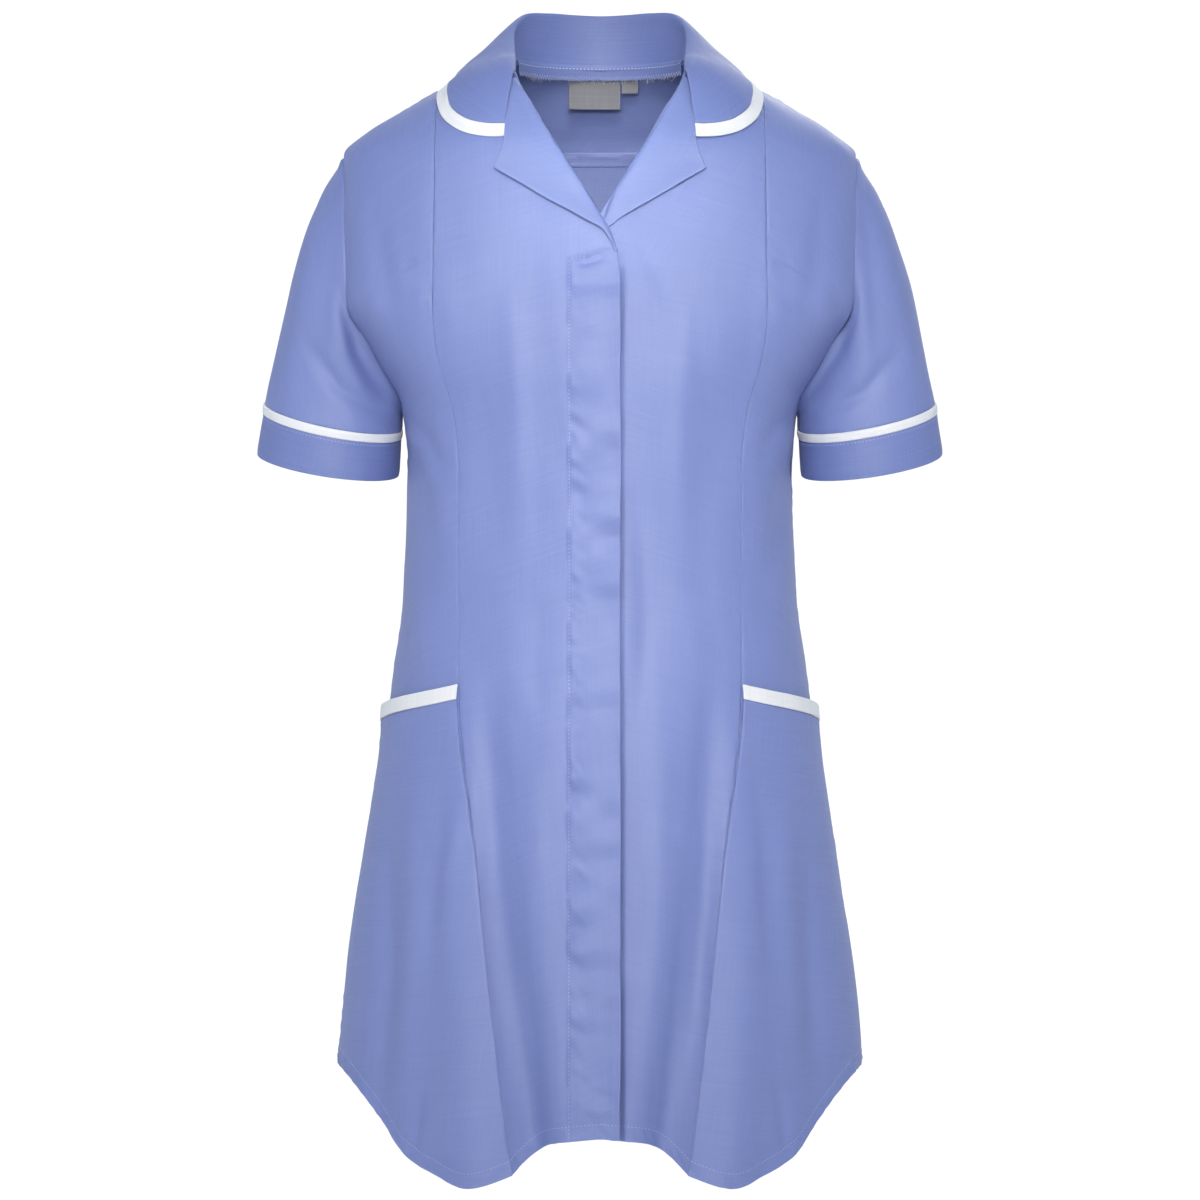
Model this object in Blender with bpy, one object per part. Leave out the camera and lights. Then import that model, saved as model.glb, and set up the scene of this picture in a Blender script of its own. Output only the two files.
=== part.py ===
"""A short-sleeved maternity tunic with a bound collar, revers and two bound hip pockets.

The tunic is filled out as if worn, with nothing inside it. The origin is the middle of the
neck at the height of the shoulder points. X runs to the wearer's left, the front faces -Y
and Z is up. Every cut piece is a thin closed wall of its own, a hair's breadth from its
neighbours. Lengths in the tables are millimetres, and a drop is a distance below the origin.
"""

from collections import namedtuple
from math import atan2, cos, degrees, exp, pi, radians, sin

import bmesh
import bpy
from mathutils import Vector
from mathutils.bvhtree import BVHTree

MM = 0.001

# Driving sizes
CLOTH = 1.2          # wall of one layer of cloth
TRIM = 2.0           # wall of the doubled white binding
SEAM_GAP = 0.5       # between two pieces that are sewn edge to edge
LAP_GAP = 0.6        # between two layers that lie on each other
SHOULDER_DROP = 74   # shoulder tip below the neck
SHOULDER_HALF = 197.5  # half width over the shoulder tips
ARMPIT_DROP = 268    # bottom of the armhole
ARMHOLE_ANGLE = 17   # how far the armhole opens to front and back, in degrees
HEM_LOWEST = 849     # the hem's lowest points, beside the princess seams
LAP_EDGE = 15        # edge of the upper front past the middle
UNDERLAP_EDGE = 22   # edge of the lower front past the middle, on the other side
POCKET_MOUTH = 488   # lower edge of the pocket binding at the princess seam
POCKET_SLANT = 20    # how much lower the mouth is at the side seam
POCKET_TRIM = 10     # width of the pocket binding
COLLAR_TRIM = 8.5    # width of the collar binding
COLLAR_LIFT = 1.8    # between the collar leaf and what it lies on
STAND_BULGE = 0.9    # how far the collar's stand curves out between neck and fold
TRIM_PROUD = 0.8     # how far a binding stands over the cloth that it edges
REVER_CLOTH = 1.4    # wall of a turned-back front
REVER_GAP = 0.8      # between a turned-back front and its panel
PIPING = 7           # width of the white piping above the cuff
PIPING_PROUD = 0.6   # how far the piping stands over the sleeve
CUFF_DEPTH = 38      # piping and cuff together
CUFF_CLOTH = 1.6     # wall of the doubled cuff
LABEL_TAPE = 1.0     # thickness of a label
LABEL_GAP = 0.4      # between a label and the inside of the back

Ring = namedtuple("Ring", "drop half_width front back square")
BODY = (
    Ring(0, 64, 50, 58, 2.00),
    Ring(6, 84, 55, 64, 2.02),
    Ring(13, 104, 60, 70, 2.05),
    Ring(20, 120, 66, 76, 2.10),
    Ring(29, 137.5, 72, 82, 2.15),
    Ring(37, 150.5, 77, 87, 2.25),
    Ring(45, 163.5, 82, 92, 2.35),
    Ring(52, 174.5, 88, 97, 2.45),
    Ring(60, 184.5, 93, 101, 2.55),
    Ring(74, SHOULDER_HALF, 100, 106, 2.70),
    Ring(130, 201.5, 117, 117, 3.00),
    Ring(187, 199, 129, 122, 3.00),
    Ring(220, 179, 135, 122, 2.80),
    Ring(241, 166, 138, 120, 2.65),
    Ring(262, 153, 139, 118, 2.55),
    Ring(290, 149, 139, 116, 2.50),
    Ring(330, 148, 139, 113, 2.45),
    Ring(420, 152, 143, 114, 2.40),
    Ring(490, 162, 151, 121, 2.35),
    Ring(530, 165.5, 156, 125, 2.30),
    Ring(590, 175.5, 161, 131, 2.30),
    Ring(690, 191.5, 168, 140, 2.25),
    Ring(760, 198.7, 173, 146, 2.20),
    Ring(880, 208, 179, 153, 2.20),
)

# Soft flutes that grow towards the hem: angles from the middle of the front, in degrees
Flute = namedtuple("Flute", "name top_angle hem_angle spread depth start")
FLUTE_GROWTH = 1.3
FLUTES = (
    Flute("right seam crest", -46, -27.5, 7.0, 8.0, 400),
    Flute("right seam trough", -35, -15.5, 5.5, -15.0, 400),
    Flute("right inner crest", -22, -6.5, 4.5, 4.0, 480),
    Flute("left seam crest", 46, 27.5, 7.0, 8.5, 410),
    Flute("left seam trough", 35, 15.5, 5.5, -14.0, 420),
    Flute("left inner crest", 22, 6.0, 4.5, 4.5, 470),
    Flute("right pocket trough", -63, -57, 7.0, -5.0, 520),
    Flute("left pocket trough", 61, 58, 7.0, -6.0, 540),
    Flute("right side trough", -112, -110, 8.0, -7.0, 420),
    Flute("left side trough", 114, 109, 8.0, -8.0, 400),
    Flute("right back crest", -130, -127, 8.0, 8.0, 420),
    Flute("left back crest", 132, 128, 8.0, 7.0, 440),
    Flute("right back trough", -148, -145, 7.5, -12.0, 380),
    Flute("left back trough", 147, 146, 7.0, -11.0, 400),
    Flute("right inner back crest", -164, -163, 7.0, 6.0, 450),
    Flute("left inner back crest", 163, 162, 7.5, 7.0, 430),
)

# Hem drop by the angle from the middle of the front, and mirrored on the back
HEM = (
    (0, 811), (10, 814), (15, 819), (19, 829), (23, 844.5), (28, HEM_LOWEST), (35, 843.5),
    (41, 838), (46.5, 829), (53, 812), (60, 794), (71, 773.5), (90, 765),
)
BACK_HEM_RISE = 5    # the back hem hangs this much higher
BACK_HEM_TURN = 115  # from this angle on it has risen in full

# Distance of the princess seam from the middle, by drop
PRINCESS = (
    (0, 124.5), (60, 124.5), (158, 125), (198, 125.5), (242, 120), (265, 112.5), (295, 107),
    (481, 106), (533, 102), (600, 93), (695, 83.5), (783, 74), (835, 68), (880, 63),
)

# Distance of the neckline and its roll line from the middle, by drop, down to the break
ROLL = (
    (0, 64), (5, 64.5), (11, 64.2), (18, 63.7), (30, 56.5), (44, 49), (65, 37.5),
    (100, 15), (125, 1), (144, -9.7),
)
BREAK_DROP = 144
BREAK_LENGTH = 30    # below the break the edge settles over this length
LAP_SLOPE = (-UNDERLAP_EDGE - 26, -UNDERLAP_EDGE - 5)  # where the upper front rises

# Drops of the rows of points, measured along the princess seam
LEVELS = (
    32, 44, 58, 76, 96, 120, 144, 168, 192, 216, 240, 268,
    305, 350, 400, 450, 500, 550, 600, 650, 700, 750, 800, HEM_LOWEST,
)

# The collar by stations from the middle of the back to the front end, on one side
Station = namedtuple("Station", "neck fold edge")
COLLAR = (
    Station((0, 58, 1), (0, 60, 42), (0, 81, -20)),
    Station((20, 55, 1), (20, 57.5, 42.5), (31, 79, -20)),
    Station((38, 46.5, 1), (39, 50, 43), (59, 72, -21)),
    Station((53, 32.5, 1), (56, 36, 41), (84, 57, -21)),
    Station((62, 15, 1), (65, 17, 30), (103, 33, -19)),
    Station((64, 0, 1), (66.5, -3, 17), (114.5, 0, -18)),
    Station((64.5, -14, 0), (66, -16, 9.5), (120, -18, -22)),
    Station((64.5, -24, -2), (65.6, -27, 3.5), (123, -37, -31)),
    Station((64.3, -33, -4), (65.2, -36, 0), (121.5, -55, -43)),
    Station((64.2, -40, -8), (64.8, -42.5, -3.5), (116, -72, -55)),
    Station((64, -45, -11), (64.5, -47, -6.5), (103, -84, -63)),
    Station((63.8, -49, -14), (64.2, -50.5, -9.5), (88, -90, -66.5)),
    Station((63.6, -52, -16.5), (64, -53.5, -12), (72.5, -93, -67)),
)
STAND_ROWS = (0, 0.35, 0.7)
LEAF_ROWS = (0.0, 0.05, 0.12, 0.25, 0.45, 0.65, 0.82, 1.0)
LEAF_ROLL = 0.16     # how far the leaf rolls out at its fold, as a share of its depth
LEAF_RISE = 0.06     # how far it rises there
LEAF_LANDING = 0.32  # where it begins to lie down, as a share of its depth from its edge
LEAF_SWELL = 0.14    # how far it stands up there

# The revers by stations down the roll line: distance from the middle, then drop
Rever = namedtuple("Rever", "roll outer")
REVERS = (
    Rever((63.0, 20.5), (64.5, 22.5)),
    Rever((56.5, 31), (67.5, 38)),
    Rever((49, 44.5), (70.3, 55)),
    Rever((42, 57.5), (72, 73)),
    Rever((35.3, 68.5), (78.8, 91.6)),
    Rever((27.5, 81), (62, 101.5)),
    Rever((19, 94.5), (45, 111.7)),
    Rever((9.8, 109), (28, 121.7)),
)
RIGHT_REVER_END = (Rever((0.4, 126), (10, 131.8)), Rever((-8.3, 141), (-7.2, 142.2)))
REVER_COLUMNS = 4
LEFT_REVER_END = (Rever((5.6, 121), (15.5, 129)), Rever((8.6, 132.0), (9.4, 133)))

# The sleeve's end by stations down the cuff: middle, half width vector, front vector
SLEEVE_TOP_LOOP = (Vector((205.3, 0, -272.5)), Vector((52.7, 0, 10.5)), Vector((0, -52, -11)))
SLEEVE_END_LOOP = (Vector((209.2, 0, -309.5)), Vector((54.8, 0, 8.5)), Vector((0, -53, -10.5)))
SLEEVE_IN = 1.0      # the sleeve's head starts this far inside the armhole's edge
SLEEVE_SIDES = 24
SLEEVE_ROWS = 8
CUFF_ROWS = (0.45, 0.75, 1)
SLEEVE_PULL = 0.9    # how strongly the cloth keeps its way at the armhole and the cuff

# How far the sleeve goes outward for each step down
HEAD_OUT = 0.13      # at the armhole, under the arm
HEAD_TOP_OUT = 0.56  # at the armhole, more at the shoulder
HEAD_SPREAD = 0.13   # at the armhole, to front and back
CUFF_OUT = 0.02      # at the cuff, under the arm
CUFF_TOP_OUT = 0.22  # at the cuff, more on the outer side

# Labels hung in the back neck: left edge, right edge, top drop, bottom drop
NECK_LABEL = (-24.3, 15.6, 7.5, 29.3)
SIZE_TAB = (17.4, 29.7, 7.5, 17.0)

# Colours as seen on the cloth, red, green and blue out of 255
BLUE = (146, 162, 213)
SIDE_BLUE = (134, 150, 205)
SLEEVE_BLUE = (128, 144, 200)
REVER_BLUE = (152, 168, 216)
WHITE = (238, 238, 242)
GREY = (141, 143, 160)


def clear_scene():
    """Remove whatever the file holds."""
    for thing in list(bpy.data.objects):
        bpy.data.objects.remove(thing, do_unlink=True)


def cloth_material(name, colour, roughness):
    """A Principled material of one plain colour."""
    material = bpy.data.materials.new(name)
    material.use_nodes = True
    shader = material.node_tree.nodes["Principled BSDF"]
    linear = [(c / 255 / 12.92) if c < 11 else ((c / 255 + 0.055) / 1.055) ** 2.4 for c in colour]
    shader.inputs["Base Color"].default_value = (*linear, 1)
    shader.inputs["Roughness"].default_value = roughness
    shader.inputs["Metallic"].default_value = 0
    return material


def eased(points, x):
    """Height at x of a smooth curve through (x, height) points that never overshoots them."""
    if x <= points[0][0]:
        return points[0][1]
    if x >= points[-1][0]:
        return points[-1][1]
    last = len(points) - 1
    k = next(i for i in range(last) if x <= points[i + 1][0])

    def rise(i):
        return (points[i + 1][1] - points[i][1]) / (points[i + 1][0] - points[i][0])

    def slope(i):
        if i == 0:
            return rise(0)
        if i == last:
            return rise(last - 1)
        before, after = rise(i - 1), rise(i)
        return 0 if before * after <= 0 else 2 * before * after / (before + after)

    (x0, y0), (x1, y1) = points[k], points[k + 1]
    step = x1 - x0
    t = (x - x0) / step
    curve = (2 * t**3 - 3 * t**2 + 1) * y0 + (3 * t**2 - 2 * t**3) * y1
    return curve + step * ((t**3 - 2 * t**2 + t) * slope(k) + (t**3 - t**2) * slope(k + 1))


def fade(x, start, end):
    """Goes smoothly from 0 at the start to 1 at the end."""
    t = min(1.0, max(0.0, (x - start) / (end - start)))
    return t * t * (3 - 2 * t)


RING_COLUMNS = [[(line[0], line[column]) for line in BODY] for column in range(1, len(Ring._fields))]


def ring(drop):
    """Half width, front depth, back depth and squareness of the body at a drop."""
    return [eased(column, drop) for column in RING_COLUMNS]


def hem_drop(angle):
    """Drop of the hem at an angle from the middle of the front."""
    turn = abs(degrees(angle))
    if turn <= 90:
        return eased(HEM, turn)
    return eased(HEM, 180 - turn) - BACK_HEM_RISE * fade(turn, 90, BACK_HEM_TURN)


def flute_depth(angle, drop):
    """How far the flutes push the cloth out at an angle and drop."""
    turn = degrees(angle)
    depth = 0.0
    for flute in FLUTES:
        if drop <= flute.start:
            continue
        grown = min(1.0, (drop - flute.start) / (HEM_LOWEST - flute.start))
        middle = flute.top_angle + (flute.hem_angle - flute.top_angle) * grown
        away = ((turn - middle + 180) % 360 - 180) / flute.spread
        depth += flute.depth * grown**FLUTE_GROWTH * exp(-away * away)
    return depth


def surface(angle, drop):
    """A point of the body's outer face, in millimetres."""
    half_width, front, back, square = ring(drop)
    depth = front if cos(angle) > 0 else back
    across = abs(sin(angle) / half_width) ** square
    fore = abs(cos(angle) / depth) ** square
    radius = (across + fore) ** (-1 / square) + flute_depth(angle, drop)
    return Vector((radius * sin(angle), -radius * cos(angle), -drop))


def facing(angle, drop):
    """The outward direction of the body's face."""
    top = max(0.0, drop - 1)
    around = surface(angle + 0.01, drop) - surface(angle - 0.01, drop)
    down = surface(angle, top + 2) - surface(angle, top)
    return down.cross(around).normalized()


def on_body(angle, drop, out=0.0):
    """A point that lies a distance out from the body's face."""
    return surface(angle, drop) + facing(angle, drop) * out


def angle_at(across, drop):
    """The angle of the front face's point at a distance from the middle."""
    half_width, front, _, square = ring(drop)
    share = min(1.0, abs(across) / half_width)
    return atan2(across, front * (1 - share**square) ** (1 / square))


def princess_angle(drop):
    """The angle of the princess seam at a drop."""
    return angle_at(eased(PRINCESS, drop), drop)


def ridge_drop(across):
    """The drop of the shoulder ridge at a distance from the middle."""
    low, high = 0.0, float(SHOULDER_DROP)
    for _ in range(30):
        middle = (low + high) / 2
        if ring(middle)[0] < across:
            low = middle
        else:
            high = middle
    return high


def armhole(turn):
    """Angle from the side and drop on the armhole: turn 0 is the tip, pi is the armpit."""
    middle = (SHOULDER_DROP + ARMPIT_DROP) / 2
    half = (ARMPIT_DROP - SHOULDER_DROP) / 2
    return radians(ARMHOLE_ANGLE) * sin(turn), middle - half * cos(turn)


def to_hem(angle, level):
    """The drop of a row below the armpit, stretched to end on the hem."""
    share = (level - ARMPIT_DROP) / (HEM_LOWEST - ARMPIT_DROP)
    return ARMPIT_DROP + share * (hem_drop(angle) - ARMPIT_DROP)


def inset(angle, drop, toward):
    """Draw a seam edge back by half the seam gap, toward plus or minus angles."""
    return angle + toward * (SEAM_GAP / 2) / surface(angle, drop).xy.length


def average_normals(grid, closed):
    """Unit normals of a grid of points from its neighbouring points."""
    rows, columns = len(grid), len(grid[0])
    normals = []
    for r in range(rows):
        line = []
        for c in range(columns):
            up, down = grid[max(r - 1, 0)][c], grid[min(r + 1, rows - 1)][c]
            if closed:
                left, right = grid[r][c - 1], grid[r][(c + 1) % columns]
            else:
                left, right = grid[r][max(c - 1, 0)], grid[r][min(c + 1, columns - 1)]
            line.append((down - up).cross(right - left).normalized())
        normals.append(line)
    return normals


def wall(name, face, inward, material, closed=False):
    """A closed wall from a grid of face points and the way each goes to the other side."""
    mesh = bpy.data.meshes.new(name)
    bm = bmesh.new()
    layer = bm.verts.layers.float_vector.new("inward")
    verts = []
    for points, ways in zip(face, inward):
        line = []
        for point, way in zip(points, ways):
            vert = bm.verts.new(point * MM)
            vert[layer] = way * MM
            line.append(vert)
        verts.append(line)
    columns = len(verts[0])
    for upper, lower in zip(verts, verts[1:]):
        for c in range(columns if closed else columns - 1):
            n = (c + 1) % columns
            bm.faces.new((upper[c], lower[c], lower[n], upper[n]))
    inner = bmesh.ops.extrude_face_region(bm, geom=bm.faces[:])["geom"]
    for vert in (item for item in inner if isinstance(item, bmesh.types.BMVert)):
        vert.co += vert[layer]
    bmesh.ops.triangulate(bm, faces=bm.faces[:])
    bmesh.ops.recalc_face_normals(bm, faces=bm.faces[:])
    if bm.calc_volume(signed=True) < 0:
        bmesh.ops.reverse_faces(bm, faces=bm.faces[:])
    bm.verts.layers.float_vector.remove(layer)
    bm.to_mesh(mesh)
    bm.free()
    mesh.materials.append(material)
    mesh.shade_smooth()
    mesh.set_sharp_from_angle(angle=radians(40))
    thing = bpy.data.objects.new(name, mesh)
    bpy.context.scene.collection.objects.link(thing)
    return thing


def body_wall(name, places, material, out=None, thick=CLOTH):
    """A wall on the body's form from a grid of (angle, drop) places."""
    face, inward = [], []
    for line in places:
        ways = [facing(angle, drop) for angle, drop in line]
        outs = [out(angle, drop) if out else 0.0 for angle, drop in line]
        face.append([surface(*place) + way * o for place, way, o in zip(line, ways, outs)])
        inward.append([way * -thick for way in ways])
    wall(name, face, inward, material)
    return face


def between(start, end, steps):
    """Evenly spaced values from start to end, both counted."""
    return [start + (end - start) * i / steps for i in range(steps + 1)]


def lap_out(angle, drop):
    """How far the upper front stands out over the lower one."""
    across = surface(angle, drop).x
    return (CLOTH + LAP_GAP) * fade(across, *LAP_SLOPE)


def front_edge(side, drop):
    """The angle of a centre front's free edge: neckline, roll line, then front edge."""
    if drop <= BREAK_DROP:
        return side * angle_at(eased(ROLL, drop), drop)
    edge = LAP_EDGE if side < 0 else -UNDERLAP_EDGE
    start = side * ROLL[-1][1]
    settled = fade(drop, BREAK_DROP, BREAK_DROP + BREAK_LENGTH)
    return angle_at(start + (edge - start) * settled, drop)


def seam_levels():
    """Row drops along the princess seam, from the shoulder ridge to the hem."""
    return [ridge_drop(PRINCESS[0][1])] + list(LEVELS)


def centre_front(name, side, material, columns):
    """A centre front panel, from the princess seam to its free edge."""
    places = []
    top = seam_levels()[0]
    for level in seam_levels():
        if level <= top:
            seam = (side * pi / 2, level)
        else:
            seam = (side * princess_angle(level), level)
        edge_drop = level if level >= BREAK_DROP else BREAK_DROP * (level - top) / (BREAK_DROP - top)
        free_angle = front_edge(side, edge_drop)
        line = []
        for u in between(0, 1, columns):
            angle = seam[0] + (free_angle - seam[0]) * u
            if level > ARMPIT_DROP:
                drop = to_hem(angle, level)
            else:
                drop = seam[1] + (edge_drop - seam[1]) * u
            line.append([angle, drop])
        line[0][0] = inset(line[0][0], line[0][1], -side)
        if level <= top:
            line = [[inset(angle, drop, -side), drop] for angle, drop in line]
        places.append(line)
    return body_wall(name, places, material, out=lap_out if side < 0 else None)


def side_front(name, side, material, columns):
    """A side front panel, from the princess seam to the armhole and side seam."""
    places = []
    top = seam_levels()[0]
    for row, level in enumerate(seam_levels()):
        open_angle, open_drop = armhole(pi * min(1.0, row * 2 / SLEEVE_SIDES))
        edge_angle = side * (pi / 2 - open_angle)
        seam_angle = side * (princess_angle(level) if level > top else pi / 2)
        line = []
        for u in between(0, 1, columns):
            angle = seam_angle + (edge_angle - seam_angle) * u
            if level > ARMPIT_DROP:
                drop = to_hem(angle, level)
            else:
                drop = level + (open_drop - level) * u
            line.append([angle, drop])
        line[0][0] = inset(line[0][0], line[0][1], side)
        line[-1][0] = inset(line[-1][0], line[-1][1], -side)
        if level <= top:
            line = [[inset(angle, drop, -side), drop] for angle, drop in line]
        places.append(line)
    return body_wall(name, places, material)


POCKET_ROWS = (0, 0.05, 0.12, 0.22, 0.34, 0.46, 0.58, 0.7, 0.82, 0.92, 1)
GAPE = 2.4                # how far the pocket stands off at its side end
GAPE_ANGLES = (45, 88)    # from where to where round the body it begins to stand off
GAPE_DEPTH = 90           # how far below the mouth the gape dies away


def mouth_drop(angle):
    """Drop of the lower edge of the pocket's binding."""
    share = (abs(angle) - princess_angle(POCKET_MOUTH)) / (pi / 2 - princess_angle(POCKET_MOUTH))
    return POCKET_MOUTH + POCKET_SLANT * min(1.0, max(0.0, share)) ** 0.85


def pocket_lift(angle, drop):
    """Distance of the pocket front's outer face from the body: it gapes at the side."""
    share = fade(abs(degrees(angle)), *GAPE_ANGLES)
    depth = max(0.0, drop - mouth_drop(angle)) / GAPE_DEPTH
    return CLOTH + 2 * LAP_GAP + GAPE * share * exp(-depth * depth)


def pocket(side_name, side, material, trim_material, columns):
    """A pocket front from the mouth to the hem, and the white binding above it."""

    def line_at(share):
        seam = side * princess_angle(POCKET_MOUTH + (HEM_LOWEST - POCKET_MOUTH) * share)
        line = []
        for u in between(0, 1, columns):
            angle = seam + (side * pi / 2 - seam) * u
            mouth = mouth_drop(angle) + SEAM_GAP
            line.append([angle, mouth + (hem_drop(angle) - mouth) * share])
        line[0][0] = inset(line[0][0], line[0][1], side)
        line[-1][0] = inset(line[-1][0], line[-1][1], -side)
        return line

    places = [line_at(share) for share in POCKET_ROWS]
    body_wall("pocket_front_" + side_name, places, material, out=pocket_lift)
    bound = []
    for lift in (POCKET_TRIM, POCKET_TRIM / 2, 0):
        bound.append([[angle, drop - SEAM_GAP - lift] for angle, drop in line_at(0)])

    def trim_out(angle, drop):
        return pocket_lift(angle, drop) + TRIM_PROUD

    body_wall("pocket_binding_" + side_name, bound, trim_material, out=trim_out, thick=TRIM)


RIDGE_ROWS = 6            # rows of the yoke that end on the shoulder ridge
YOKE_ROWS = 3             # points of the armhole that the yoke takes
YOKE_TURN = YOKE_ROWS * 2 * pi / SLEEVE_SIDES
YOKE_MIDDLE_DROP = 64     # the yoke seam in the middle of the back


def back_share(angle):
    """0 in the middle of the back and 1 at the sides."""
    return min(1.0, abs(pi - angle % (2 * pi)) / (pi / 2)) ** 2


def back_line(left, middle_drop, columns):
    """A row of the back from side to side; left is the angle from the side and the drop."""
    start = pi / 2 + left[0]
    line = []
    for u in between(0, 1, columns):
        angle = start + (2 * pi - 2 * start) * u
        line.append([angle, middle_drop + (left[1] - middle_drop) * back_share(angle)])
    line[0][0] = inset(line[0][0], line[0][1], 1)
    line[-1][0] = inset(line[-1][0], line[-1][1], -1)
    return line


def back_yoke(material, columns):
    """The yoke, from the neck and shoulder seams to the seam over the shoulder blades."""
    places = []
    for i in range(RIDGE_ROWS + YOKE_ROWS + 1):
        if i <= RIDGE_ROWS:
            left = (0.0, SHOULDER_DROP * i / RIDGE_ROWS)
        else:
            left = armhole(YOKE_TURN * (i - RIDGE_ROWS) / YOKE_ROWS)
        middle = YOKE_MIDDLE_DROP * i / (RIDGE_ROWS + YOKE_ROWS)
        places.append(back_line(left, middle, columns))
    return body_wall("back_yoke", places, material)


def back(material, columns):
    """The back panel, from the yoke seam to the hem."""
    places = []
    armhole_rows = SLEEVE_SIDES // 2 - YOKE_ROWS
    for i in range(armhole_rows + 1):
        share = i / armhole_rows
        left = armhole(YOKE_TURN + (pi - YOKE_TURN) * share)
        middle = YOKE_MIDDLE_DROP + (ARMPIT_DROP - YOKE_MIDDLE_DROP) * share
        gap = SEAM_GAP if i == 0 else 0
        places.append([[angle, drop + gap] for angle, drop in back_line(left, middle, columns)])
    armpit = back_line((0.0, ARMPIT_DROP), ARMPIT_DROP, columns)
    for level in (level for level in LEVELS if level > ARMPIT_DROP):
        places.append([[angle, to_hem(pi - abs(pi - angle), level)] for angle, _ in armpit])
    return body_wall("back", places, material)


def loop_point(share, turn):
    """A point on the sleeve's lower end: share 0 is the piping's top, 1 is the cuff's hem."""
    middle, half, fore = [a.lerp(b, share) for a, b in zip(SLEEVE_TOP_LOOP, SLEEVE_END_LOOP)]
    return middle + half * cos(turn) + fore * sin(turn)


def mirrored(grid, side):
    """The grid on the wearer's left for side 1 and on the right for side -1."""
    return [[Vector((point.x * side, point.y, point.z)) for point in line] for line in grid]


def tube(name, grid, side, material, thick=CLOTH, shift=0.0):
    """A wall round a tube of rings, its face moved out by a shift."""
    normals = average_normals(grid, True)
    middle = sum(grid[0], Vector()) / len(grid[0])
    if normals[0][0].dot(grid[0][0] - middle) < 0:
        normals = [[-n for n in line] for line in normals]
    face = [[p + n * shift for p, n in zip(*lines)] for lines in zip(grid, normals)]
    inward = [[n * -thick for n in line] for line in normals]
    wall(name, mirrored(face, side), mirrored(inward, side), material, closed=True)


def sleeve(side_name, side, cloth, trim):
    """A set-in sleeve, its white piping and its cuff."""
    turns = [2 * pi * i / SLEEVE_SIDES for i in range(SLEEVE_SIDES)]
    rows = []
    for r in range(SLEEVE_ROWS + 1):
        t = r / SLEEVE_ROWS
        line = []
        for turn in turns:
            opened, drop = armhole(turn if turn <= pi else 2 * pi - turn)
            opened -= sin(turn if turn <= pi else 2 * pi - turn) * SLEEVE_IN / SHOULDER_HALF
            drop += SLEEVE_IN * cos(turn)
            angle = pi / 2 - opened if turn <= pi else pi / 2 + opened
            start = surface(angle, drop) + Vector((2 * LAP_GAP, 0, 0))
            end = loop_point(0, turn)
            reach = (end - start).length
            top = (1 + cos(turn)) / 2
            leave = Vector((HEAD_OUT + HEAD_TOP_OUT * top, -HEAD_SPREAD * sin(turn), -1))
            arrive = Vector((CUFF_OUT + CUFF_TOP_OUT * top, 0, -1))
            leave *= SLEEVE_PULL * reach / leave.length
            arrive *= SLEEVE_PULL * reach / arrive.length
            blend = (2 * t**3 - 3 * t**2 + 1) * start + (3 * t**2 - 2 * t**3) * end
            line.append(blend + (t**3 - 2 * t**2 + t) * leave + (t**3 - t**2) * arrive)
        rows.append(line)
    tube("sleeve_" + side_name, rows, side, cloth)
    gap = SEAM_GAP / CUFF_DEPTH
    rolled = PIPING / CUFF_DEPTH
    piping = [[loop_point(s, turn) for turn in turns] for s in (gap, rolled / 2, rolled)]
    tube("cuff_piping_" + side_name, piping, side, trim, thick=TRIM, shift=PIPING_PROUD)
    cuff = [[loop_point(s, turn) for turn in turns] for s in (rolled + gap, *CUFF_ROWS)]
    tube("sleeve_cuff_" + side_name, cuff, side, cloth, thick=CUFF_CLOTH)


def clear_of(tree, point, gap):
    """Move a point out so that it is at least a gap from the surface beneath it."""
    place, normal, _, _ = tree.find_nearest(point)
    height = (point - place).dot(normal)
    return place + normal * gap if height < gap else point


def seated(tree, point, gap):
    """The point at a gap above the nearest place on a surface."""
    place, normal, _, _ = tree.find_nearest(point)
    return place + normal * gap


def tree_of(grids):
    """A search tree over grids of face points, with its faces pointing out."""
    points, faces = [], []
    for grid in grids:
        columns = len(grid[0])
        start = len(points)
        points += [p for line in grid for p in line]
        turn = grid[1][0] - grid[0][0]
        outward = turn.cross(grid[0][1] - grid[0][0])
        flip = outward.dot(Vector((grid[0][0].x, grid[0][0].y, 40))) < 0
        for r in range(len(grid) - 1):
            for c in range(columns - 1):
                a = start + r * columns + c
                quad = [a, a + columns, a + columns + 1, a + 1]
                faces.append(quad[::-1] if flip else quad)
    return BVHTree.FromPolygons(points, faces)


def leaf_point(tree, fold, edge, share, gap):
    """A point of the collar leaf between its fold and its seated outer edge."""
    away = Vector((edge.x - fold.x, edge.y - fold.y, 0)).normalized()
    up = Vector((0, 0, 1))
    fall = (edge - fold).length
    lift = fold + fall * (LEAF_ROLL * away + LEAF_RISE * up)
    land = edge.lerp(fold, LEAF_LANDING) + fall * LEAF_SWELL * up
    s = share
    point = fold * (1 - s)**3 + lift * 3 * s * (1 - s)**2 + land * 3 * s * s * (1 - s) + edge * s**3
    return clear_of(tree, point, gap)


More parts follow.
